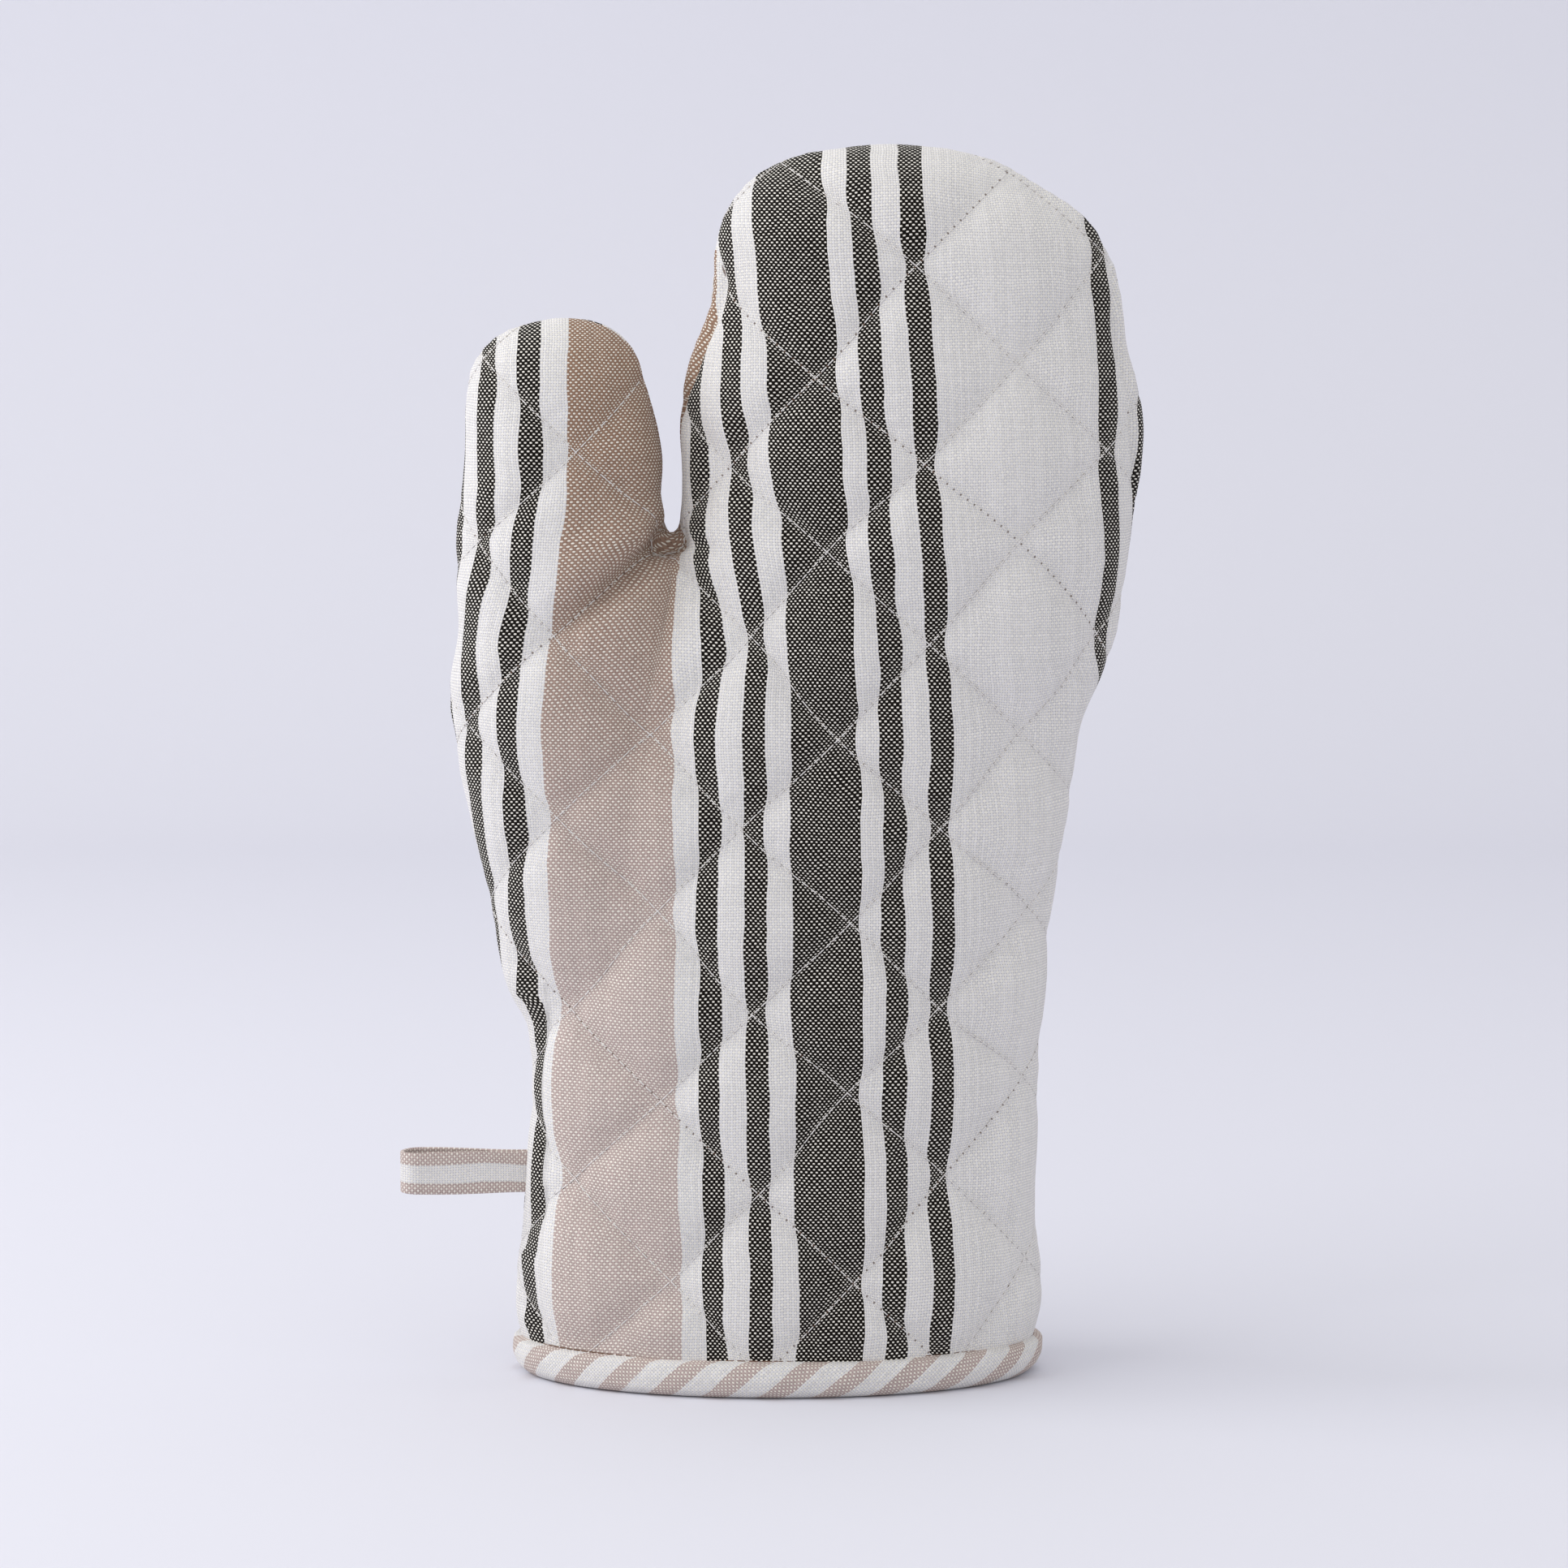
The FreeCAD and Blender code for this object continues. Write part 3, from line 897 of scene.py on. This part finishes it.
def binding_shape(across, up):
    """Places on the folded strip, puckered at its stitches, and its cloth coordinates on the bias."""
    set_out, height, along_profile = binding_profile(up)
    length = ring_length(across)
    outside = ease(up, 0.5, 0.75)
    edge = ease(np.abs(up - 0.5), 0.3, 0.5)
    pucker = np.sin(length / 4.6 + 1.3 * np.sin(length / 31.0)) * PUCKER * edge
    lumps = 0.35 * np.sin(length / 17.0 + 2.0) * np.sin(length / 43.0)
    set_out = set_out + (pucker + lumps) * (2 * outside - 1) * ease(height, 0.2, 3.0)
    points = cuff_ring(across, set_out, height)
    turn = math.radians(45)
    pattern = np.stack(
        [
            length * math.cos(turn) - along_profile * math.sin(turn),
            length * math.sin(turn) + along_profile * math.cos(turn),
        ],
        axis=1,
    )
    return points, pattern


binding = shaped_grid("cuff_binding_strip", 480, 44, binding_shape)
print("binding:", len(binding.data.polygons), "faces")

STITCHED_AT = 0.925  # how far along the strip's width the outer row of stitches lies


def binding_stitches():
    """Small stitches along the binding's two edges."""
    found = []
    length = ring_length(1.0)
    for up, side in ((STITCHED_AT, 1), (1 - STITCHED_AT, -1)):
        set_out, height, _ = binding_profile(np.array([up]))
        for number in range(int(length / STITCH)):
            ends = []
            for place in (number * STITCH, number * STITCH + STITCH - STITCH_GAP):
                share = np.array([place / length])
                spot = cuff_ring(share, set_out + 0.1 * side, height)[0]
                outer = cuff_ring(share, set_out + 1.1 * side, height)[0]
                ends.append((spot, outer - spot))
            found.append(ends)
    return found


binding_thread = thread_piece("binding_topstitches", binding_stitches(), THREAD_RADIUS, 0.3, 0.05)

# %% [markdown]
# ## Side seam
#
# The panels are sewn right sides together and turned out, so the seam is a groove with the stitches
# deep inside it. A row of short threads across the groove shows where they hold.

# %% Seam stitches
def seam_line(mesh):
    """Places and directions out of the seam, along the cut edge of a panel above the binding."""
    points, normals = read_points(mesh), read_points(mesh, "normals")
    roll = np.empty(len(points), dtype=np.float32)
    mesh.attributes["rolled"].data.foreach_get("value", roll)
    on_seam = (np.abs(points[:, 1] - roll / MM) < 1e-2) & (points[:, 2] > BINDING_HEIGHT)
    return points[on_seam], normals[on_seam]


def seam_stitches(mesh):
    """Short threads from the back panel to the front panel across the seam."""
    points, normals = seam_line(mesh)
    found, taken = [], []
    order = np.argsort(points[:, 2] + 1000 * (points[:, 0] > 0))
    last = None
    for index in order:
        place, out = points[index], normals[index] * (1, 0, 1)
        if last is not None and np.linalg.norm(place - last) < STITCH:
            continue
        if taken and np.min(np.linalg.norm(np.array(taken) - place, axis=1)) < STITCH * 0.9:
            continue
        out /= np.linalg.norm(out)
        across = np.array([0, 0.8, 0])
        found.append(((place - across - out * 0.3, out), (place + across - out * 0.3, out)))
        taken.append(place)
        last = place
    return found


SEAM_THREAD_RADIUS = 0.13
seam_thread = thread_piece(
    "side_seam_stitches", seam_stitches(panels["front"].data), SEAM_THREAD_RADIUS
)

# %% [markdown]
# ## Hanging loop
#
# A tape is folded in half and its two ends are sewn into the side seam. Seen from the front it is a
# flat striped strip; from above it is a drop with an open eye. The grid runs along the tape and across
# it, and Solidify gives it its thickness.

# %% Folded tape
loop_low, loop_high = (np.array(corner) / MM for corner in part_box("hanging_loop"))
SWING = next(joint for joint in frame["record"]["behaviour"]["joints"] if joint["name"] == "loop_swing")
HINGE = np.array(SWING["pos_m"]) / MM
TAPE_THICK = 1.1
EYE_ROUND = (loop_high[1] - loop_low[1]) / 2 - TAPE_THICK / 2
PINCH_ROUND = 0.75
SEWN_IN = 3.0
LOOP_SPARE = 1.4  # the soft fold reaches a little further than the plain solid


def loop_path(share):
    """The tape's middle line from above: in from the seam, round the eye and back."""
    tip_x = loop_low[0] - LOOP_SPARE + TAPE_THICK / 2 + EYE_ROUND
    run = HINGE[0] - tip_x + SEWN_IN
    lean = math.asin((EYE_ROUND - PINCH_ROUND) / run)
    straight = math.hypot(run, EYE_ROUND - PINCH_ROUND)
    arc = (math.pi + 2 * lean) * EYE_ROUND
    total = 2 * straight + arc
    at = share * total
    first_run = np.clip(at / straight, 0, 1)
    last_run = np.clip((at - straight - arc) / straight, 0, 1)
    turn = np.clip((at - straight) / arc, 0, 1) * (math.pi + 2 * lean)
    angle = math.pi / 2 - lean + turn
    x = tip_x + EYE_ROUND * np.cos(angle)
    y = EYE_ROUND * np.sin(angle)
    root_x = HINGE[0] + SEWN_IN
    x = x + (root_x - x) * (1 - first_run) * (turn == 0) + (root_x - x) * last_run
    y_root = np.where(last_run > 0, -PINCH_ROUND, PINCH_ROUND)
    y = y + (y_root - y) * (1 - first_run) * (turn == 0) + (y_root - y) * last_run
    return x, y, at


def loop_shape(across, up):
    """Places on the folded tape, a little uneven, and its cloth coordinates."""
    x, y, at = loop_path(across)
    height = loop_low[2] + up * (loop_high[2] - loop_low[2])
    edge = (2 * up - 1) ** 6
    roll = 0.25 * np.sin(at / 5.0 + 3 * up)
    y = y * (1 - 0.10 * edge) + 0.2 * np.sin(at / 9.0)
    points = np.stack([x, y, height + roll * 0.5], axis=1)
    return points, np.stack([height - loop_low[2], at], axis=1)


loop = shaped_grid("hanging_loop_tape", 160, 18, loop_shape)
wall = loop.modifiers.new("tape thickness", "SOLIDIFY")
wall.thickness = TAPE_THICK * MM
wall.offset = 0.0
soften = loop.modifiers.new("rounded edge", "BEVEL")
soften.width = 0.3 * MM
soften.segments = 2
soften.limit_method = "ANGLE"

# %% [markdown]
# ## Plain-weave cotton
#
# In plain weave each weft thread goes over one warp thread and under the next. Where the warp is dark
# and the weft is white, the cloth shows rows of small white dots on a dark ground. The material draws
# just that: a checker of cells, an oval dot of weft in every second one, and the rounded tops of the
# threads as bump. Stripes are colours of the warp only, so they come from a colour ramp along u.


# %% Node helpers
def linear(hex_colour):
    """An sRGB hex colour as the linear colour that shaders use."""
    channels = [int(hex_colour[i : i + 2], 16) / 255 for i in (1, 3, 5)]
    turned = [c / 12.92 if c <= 0.04045 else ((c + 0.055) / 1.055) ** 2.4 for c in channels]
    return (*turned, 1.0)


def add(tree, kind, inputs=(), out=0, **settings):
    """Adds a node, sets its fields, links or sets its inputs, and returns one of its outputs."""
    node = tree.nodes.new("ShaderNode" + kind)
    for field, value in settings.items():
        setattr(node, field, value)
    for socket, value in inputs.items() if isinstance(inputs, dict) else enumerate(inputs):
        if isinstance(value, bpy.types.NodeSocket):
            tree.links.new(value, node.inputs[socket])
        else:
            node.inputs[socket].default_value = value
    return node.outputs[out]


COLOURS = {"out": 2, "data_type": "RGBA"}  # for a Mix of two colours
MULTIPLY = {**COLOURS, "blend_type": "MULTIPLY"}


def blank_material(name, look):
    """A new material, its node tree and its Principled shader, set to a look."""
    material = bpy.data.materials.new(name)
    material.use_nodes = True
    tree = material.node_tree
    tree.nodes.clear()
    shader = tree.nodes.new("ShaderNodeBsdfPrincipled")
    output = tree.nodes.new("ShaderNodeOutputMaterial")
    tree.links.new(shader.outputs[0], output.inputs[0])
    for socket, value in look.items():
        shader.inputs[socket].default_value = value
    return material, tree, shader


# %% Striped plain weave
COTTON = {"Roughness": 0.92, "Specular IOR Level": 0.12, "Sheen Weight": 0.05, "Sheen Roughness": 0.6}
WARP_PITCH, WEFT_PITCH = 0.63, 0.70  # millimetres from thread to thread
DOT = (0.60, 0.36, 0.0)  # size of a weft dot, as shares of its cell
WHITE = "#e4e2e3"
DARK = "#0b0603"
TAUPE = "#c0aea9"
# darker taupe for the upper mitt: partly a deeper yarn, partly painted shade of the thumb, which turns
# away from the light
TAUPE_DEEP_AND_SHADED = "#9a7c68"
TAUPE_DARKENING_SPAN = (90.0, 260.0)  # the taupe is palest at the cuff and darkest above this height: partly a deeper yarn, partly painted shade
WEFT_WHITE = "#f4f0e6"
# colour of the painted shade in the pinholes between the threads
PINHOLE_SHADE = "#4a403a"
# colour of the painted shade in the needle holes of the quilting
NEEDLE_HOLE_SHADE = "#5a4234"


def stripe_stops(widths, start):
    """(place, colour) where each stripe begins, from a list of (colour, width)."""
    stops, place = [], start
    for colour, width in widths:
        stops.append((place, colour))
        place += width
    return stops, place


def stripe_ramp(tree, place, stops, span):
    """Warp colour by stops along u, as a colour ramp with hard edges."""
    colour = add(tree, "ValToRGB", (place,))
    ramp = colour.node.color_ramp
    ramp.interpolation = "CONSTANT"
    while len(ramp.elements) > 1:
        ramp.elements.remove(ramp.elements[-1])
    for index, (begin, yarn) in enumerate(stops):
        share = (begin - span[0]) / (span[1] - span[0])
        element = ramp.elements[0] if index == 0 else ramp.elements.new(share)
        element.position = share
        element.color = linear(yarn)
    return colour


def plain_weave(name, stops, span, quilted=False, repeats=False):
    """Cotton with a warp coloured by stops along u, over a span of u in millimetres."""
    material, tree, shader = blank_material(name, COTTON)
    cloth_map = add(tree, "UVMap", uv_map="cloth")
    noise_inputs = {"Vector": cloth_map, "Scale": 0.08, "Detail": 2.0}
    wander = add(tree, "TexNoise", noise_inputs, noise_dimensions="2D")
    sway = add(tree, "Math", (wander, 1.2, -0.6), operation="MULTIPLY_ADD")
    place = add(tree, "VectorMath", (cloth_map, sway), operation="ADD")
    u = add(tree, "SeparateXYZ", (place,))
    v = u.node.outputs[1]

    # one cell for each crossing of a warp and a weft thread, and the place inside the cell
    pitch = (WARP_PITCH, WEFT_PITCH, 0.0)
    threads = add(tree, "VectorMath", (place, pitch), operation="DIVIDE")
    cell = add(tree, "VectorMath", (threads,), operation="FLOOR")
    inside = add(tree, "VectorMath", (threads, cell), operation="SUBTRACT")
    inside = add(tree, "VectorMath", (inside, (0.5, 0.5, 0.0)), operation="SUBTRACT")
    column = add(tree, "SeparateXYZ", (cell,))
    row = column.node.outputs[1]
    diagonal = add(tree, "Math", (column, row), operation="ADD")
    weft_up = add(tree, "Math", (diagonal, 2.0), operation="FLOORED_MODULO")
    chance = add(tree, "TexWhiteNoise", (cell,), noise_dimensions="3D")
    warp_chance = add(tree, "TexWhiteNoise", {"W": column}, noise_dimensions="1D")
    weft_chance = add(tree, "TexWhiteNoise", {"W": row}, noise_dimensions="1D")

    # an oval dot of weft in every second cell, each a little different in size
    swell = add(tree, "Math", (chance, 0.22, 0.88), operation="MULTIPLY_ADD")
    oval = add(tree, "VectorMath", (inside, DOT), operation="DIVIDE")
    reach = add(tree, "VectorMath", (oval,), out=1, operation="LENGTH")
    reach = add(tree, "Math", (reach, swell), operation="DIVIDE")
    dot = add(tree, "MapRange", (reach, 0.62, 0.95, 1.0, 0.0), interpolation_type="SMOOTHSTEP")
    dot = add(tree, "Math", (dot, weft_up), operation="MULTIPLY")

    across = add(tree, "MapRange", (u, *span), clamp=False)
    if repeats:
        across = add(tree, "Math", (across,), operation="FRACT")
    yarn = stripe_ramp(tree, across, stops, span)
    # painted shade mixed with a deeper yarn: the taupe darkens higher up the mitt
    if quilted:
        deep_and_shaded_stops = [(at, TAUPE_DEEP_AND_SHADED if colour == TAUPE else colour) for at, colour in stops]
        deep = stripe_ramp(tree, across, deep_and_shaded_stops, span)
        fade = add(tree, "MapRange", (v, *TAUPE_DARKENING_SPAN), interpolation_type="SMOOTHSTEP")
        yarn = add(tree, "Mix", {0: fade, 6: yarn, 7: deep}, **COLOURS)
    shade = add(tree, "Math", (warp_chance, 0.10, 0.88), operation="MULTIPLY_ADD")
    shade = add(tree, "Math", (chance, 0.10, shade), operation="MULTIPLY_ADD")
    warp = add(tree, "Mix", {0: 1.0, 6: yarn, 7: shade}, **MULTIPLY)
    shade = add(tree, "Math", (weft_chance, 0.12, 0.90), operation="MULTIPLY_ADD")
    weft = add(tree, "Mix", {0: 1.0, 6: linear(WEFT_WHITE), 7: shade}, **MULTIPLY)
    woven = add(tree, "Mix", {0: dot, 6: warp, 7: weft}, **COLOURS)

    # painted shade in the pinhole where four threads meet
    corner = add(tree, "VectorMath", (inside,), operation="ABSOLUTE")
    corner = add(tree, "VectorMath", ((0.5, 0.5, 0.0), corner), operation="SUBTRACT")
    gap = add(tree, "VectorMath", (corner,), out=1, operation="LENGTH")
    hole_shade = add(tree, "MapRange", (gap, 0.06, 0.26, 0.5, 0.0), interpolation_type="SMOOTHSTEP")
    woven = add(tree, "Mix", {0: hole_shade, 6: woven, 7: linear(PINHOLE_SHADE)}, **COLOURS)
    if quilted:
        # painted shade in the needle holes
        woven = needle_hole_shade(tree, woven)
    tree.links.new(woven, shader.inputs["Base Color"])

    # rounded tops: a thread on top is high along its middle and dips at its ends
    tops = add(tree, "VectorMath", (inside, (math.pi,) * 3), operation="MULTIPLY")
    tops = add(tree, "VectorMath", (tops,), operation="COSINE")
    round_x = add(tree, "SeparateXYZ", (tops,))
    round_y = round_x.node.outputs[1]
    warp_top = add(tree, "Math", (round_x, 0.25), operation="MULTIPLY")
    weft_top = add(tree, "Math", (round_y, 0.35), operation="MULTIPLY")
    raised = add(tree, "Mix", {0: weft_up, 2: warp_top, 3: weft_top}, data_type="FLOAT")
    both = add(tree, "Math", (round_x, round_y), operation="MULTIPLY")
    height = add(tree, "Math", (both, 0.45, raised), operation="MULTIPLY_ADD")
    bump = add(tree, "Bump", {"Strength": 0.9, "Distance": 0.16 * MM, "Height": height})
    tree.links.new(bump, shader.inputs["Normal"])
    return material


def needle_hole_shade(tree, colour):
    """Painted shade in the small holes where the needle went through, at every stitch along both line
    families.
    """
    place = add(tree, "UVMap", uv_map="quilting")
    place = add(tree, "VectorMath", (place, (*QUILT_START, 0.0)), operation="SUBTRACT")
    place = add(tree, "VectorMath", (place, (*DIAMOND, 1.0)), operation="DIVIDE")
    across, along = (side**2 / math.hypot(*DIAMOND) for side in DIAMOND)
    for slope in (1, -1):
        family = add(tree, "VectorMath", (place, (1.0, slope, 0.0)), out=1, operation="DOT_PRODUCT")
        run = (across / STITCH, -slope * along / STITCH, 0.0)
        steps = add(tree, "VectorMath", (place, run), out=1, operation="DOT_PRODUCT")
        steps = add(tree, "Math", (steps, STITCH_GAP / 2 / STITCH), operation="ADD")
        off = add(tree, "CombineXYZ", (family, steps, 0.0))
        off = add(tree, "VectorMath", (off, (0.5,) * 3, (-0.5,) * 3), operation="WRAP")
        off = add(tree, "VectorMath", (off, (LINE_GAP, STITCH, 0.0)), operation="MULTIPLY")
        reach = add(tree, "VectorMath", (off,), out=1, operation="LENGTH")
        hole_shade = add(tree, "MapRange", (reach, 0.16, 0.42, 0.8, 0.0), interpolation_type="SMOOTHSTEP")
        inputs = {0: hole_shade, 6: colour, 7: linear(NEEDLE_HOLE_SHADE)}
        colour = add(tree, "Mix", inputs, **COLOURS)
    return colour


# %% The cloth's stripes
# colour and width of each stripe, from the thumb side; u is 0 in the middle of the 18 mm dark one
STRIPES = [
    (DARK, 17.6), (WHITE, 6.0), (DARK, 6.0), (WHITE, 6.0), (DARK, 5.7), (WHITE, 6.3),
    (TAUPE, 32.5), (WHITE, 6.3), (DARK, 6.0), (WHITE, 6.0), (DARK, 6.0), (WHITE, 6.2),
    (DARK, 17.6), (WHITE, 5.8), (DARK, 5.9), (WHITE, 5.9), (DARK, 5.9), (WHITE, 44.5),
    (DARK, 5.7), (WHITE, 6.0), (DARK, 6.0), (WHITE, 6.0), (DARK, 17.6),
]
WIDE_DARK = 12
lead = sum(width for _, width in STRIPES[:WIDE_DARK]) + STRIPES[WIDE_DARK][1] / 2
panel_stops, panel_end = stripe_stops(STRIPES, -lead)
panel_cloth = plain_weave("striped plain-weave cotton", panel_stops, (-lead, panel_end), quilted=True)

bias_stops, bias_end = stripe_stops([(TAUPE, 4.7), (WHITE, 5.4)], 0.0)
binding_cloth = plain_weave("bias-cut striped cotton", bias_stops, (0.0, bias_end), repeats=True)
tape_stops, tape_end = stripe_stops([(TAUPE, 2.9), (WHITE, 4.8), (TAUPE, 4.3)], 0.0)
tape_cloth = plain_weave("striped cotton tape", tape_stops, (0.0, tape_end))

# %% [markdown]
# ## Lining and thread
#
# The lining is plain white cotton. Sewing thread is two-ply cotton, twisted: a fine diagonal wave along
# each stitch gives the twist.


# %% Lining cotton and sewing threads
lining_cotton = plain_weave("plain white cotton lining", [(0.0, WHITE)], (-200.0, 200.0))


def sewing_thread(name, yarn):
    """Two-ply mercerised cotton: slightly glossy, with the twist as fine slanting ridges."""
    material, tree, shader = blank_material(name, {"Roughness": 0.6, "Sheen Weight": 0.1})
    place = add(tree, "TexCoord", out="Object")
    fuzz = add(tree, "TexNoise", {"Vector": place, "Scale": 2400.0, "Detail": 2.0})
    wave_inputs = {"Vector": place, "Scale": 420.0, "Distortion": 2.0}
    twist = add(tree, "TexWave", wave_inputs, out="Fac")
    height = add(tree, "Math", (fuzz, 0.5, twist), operation="MULTIPLY_ADD")
    bump = add(tree, "Bump", {"Strength": 0.5, "Distance": 0.05 * MM, "Height": height})
    tree.links.new(bump, shader.inputs["Normal"])
    tone = add(tree, "Math", (fuzz, 0.3, 0.82), operation="MULTIPLY_ADD")
    colour = add(tree, "Mix", {0: 1.0, 6: linear(yarn), 7: tone}, **MULTIPLY)
    tree.links.new(colour, shader.inputs["Base Color"])
    return material


white_thread = sewing_thread("white two-ply cotton thread", "#e9e6e4")
brown_thread = sewing_thread("brown two-ply cotton thread", "#6e4b34")

# %% [markdown]
# ## Dressing the frame
#
# Each piece gets its material and takes the place of the plain solid that stood for it; all but the loop
# ride on the body that they are sewn to.

# %% Materials, bodies and what each piece stands for
def dress(piece, material, slot, *nodes, body="mitt"):
    """Gives a piece its material, names the nodes it stands for and lets it ride; its slot is not used.
    """
    piece.data.materials.clear()
    piece.data.materials.append(material)
    if nodes:
        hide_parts(*nodes)
    if body:
        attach(piece, body)


for side in ("front", "back"):
    dress(panels[side], panel_cloth, "striped_cloth", f"{side}_outer_cloth", f"{side}_wadding")
    dress(linings[side], lining_cotton, "lining_cloth", f"{side}_lining")
    dress(quilting_threads[side], white_thread, "white_thread", f"{side}_quilting_thread")
    dress(bobbin_threads[side], white_thread, "white_thread", f"{side}_bobbin_thread")
    cut_area = sum(face.area for face in linings[side].data.polygons)
    print(side, "lining area", round(cut_area, 4), "m2")
dress(seam_thread, white_thread, "white_thread", "side_seam_thread")
dress(binding, binding_cloth, "binding_cloth", "cuff_binding")
dress(binding_thread, brown_thread, "brown_thread", "binding_stitch_thread")
dress(loop, tape_cloth, "loop_tape", "hanging_loop", body=None)
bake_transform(loop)

# %% [markdown]
# ## Floor, light and camera
#
# The mitt stands on a pale sheet that curves up well behind it, so that there is no horizon. Two soft
# lights from the left, one of them in front, shape the quilting, a wide one overhead brightens the
# floor, and the pale surroundings fill the rest. The camera stands well back with a long lens, a
# little above the mitt.

# %% Pale sweep
FLOOR_SIZE = 2.6  # metres to each side
SWEEP_BACK = 1.15
SWEEP_ROUND = 0.45
bm = bmesh.new()
lines = [bm.verts.new((-FLOOR_SIZE, -FLOOR_SIZE * 1.2, 0)), bm.verts.new((-FLOOR_SIZE, SWEEP_BACK, 0))]
bm.edges.new(lines)
bmesh.ops.spin(
    bm, geom=[lines[1]], cent=(0, SWEEP_BACK, SWEEP_ROUND), axis=(1, 0, 0), angle=math.pi / 2,
    steps=24, use_merge=False,
)
top = max(bm.verts, key=lambda vertex: vertex.co.z)
bm.edges.new((top, bm.verts.new((-FLOOR_SIZE, top.co.y, 2.6))))
drawn = bmesh.ops.extrude_edge_only(bm, edges=bm.edges[:])["geom"]
moved = [item for item in drawn if isinstance(item, bmesh.types.BMVert)]
bmesh.ops.translate(bm, verts=moved, vec=(2 * FLOOR_SIZE, 0, 0))
bmesh.ops.recalc_face_normals(bm, faces=bm.faces)
sweep = new_piece("pale_sweep", bm)
PAPER = {"Base Color": linear("#e2e2eb"), "Roughness": 0.95, "Specular IOR Level": 0.1}
sweep.data.materials.append(blank_material("matt pale paper", PAPER)[0])


# %% Soft studio light
def soft_light(name, place, aim, size, power, colour="#ffffff"):
    """A square area light turned towards a point."""
    light = bpy.data.lights.new(name, "AREA")
    light.size = size
    light.energy = power
    light.color = linear(colour)[:3]
    made = new_object(name, light)
    made.location = place
    made.rotation_euler = (Vector(aim) - Vector(place)).to_track_quat("-Z", "Y").to_euler()


AIM = (0, 0, 0.15)
SURROUNDINGS = 0.76  # brightness of the pale room around the mitt
soft_light("key_light", (-1.3, -0.8, 1.2), AIM, 1.0, 6.1)
soft_light("side_light", (-1.5, 0.1, 0.9), AIM, 0.8, 9.0)
soft_light("top_light", (0, 0.1, 1.9), AIM, 1.6, 3.7)
world = bpy.data.worlds.new("studio")
world.use_nodes = True
world.node_tree.nodes["Background"].inputs[0].default_value = linear("#ffffff")
world.node_tree.nodes["Background"].inputs[1].default_value = SURROUNDINGS
bpy.context.scene.world = world
bpy.context.scene.view_settings.view_transform = "Standard"

# %% Camera
ELEVATION = math.radians(6.1)
LENS = 124.0
SENSOR = 36.0
FRAME_MM = 406.7
TARGET = Vector((1.9, 0.0, 154.0))
distance = LENS / SENSOR * FRAME_MM
camera = new_object("camera", bpy.data.cameras.new("camera"))
camera.data.lens = LENS
camera.data.sensor_width = SENSOR
backwards = Vector((0, -math.cos(ELEVATION), math.sin(ELEVATION)))
camera.location = (TARGET + backwards * distance) * MM
camera.rotation_euler = (math.pi / 2 - ELEVATION, 0, 0)
camera.data.clip_end = 20
bpy.context.scene.camera = camera
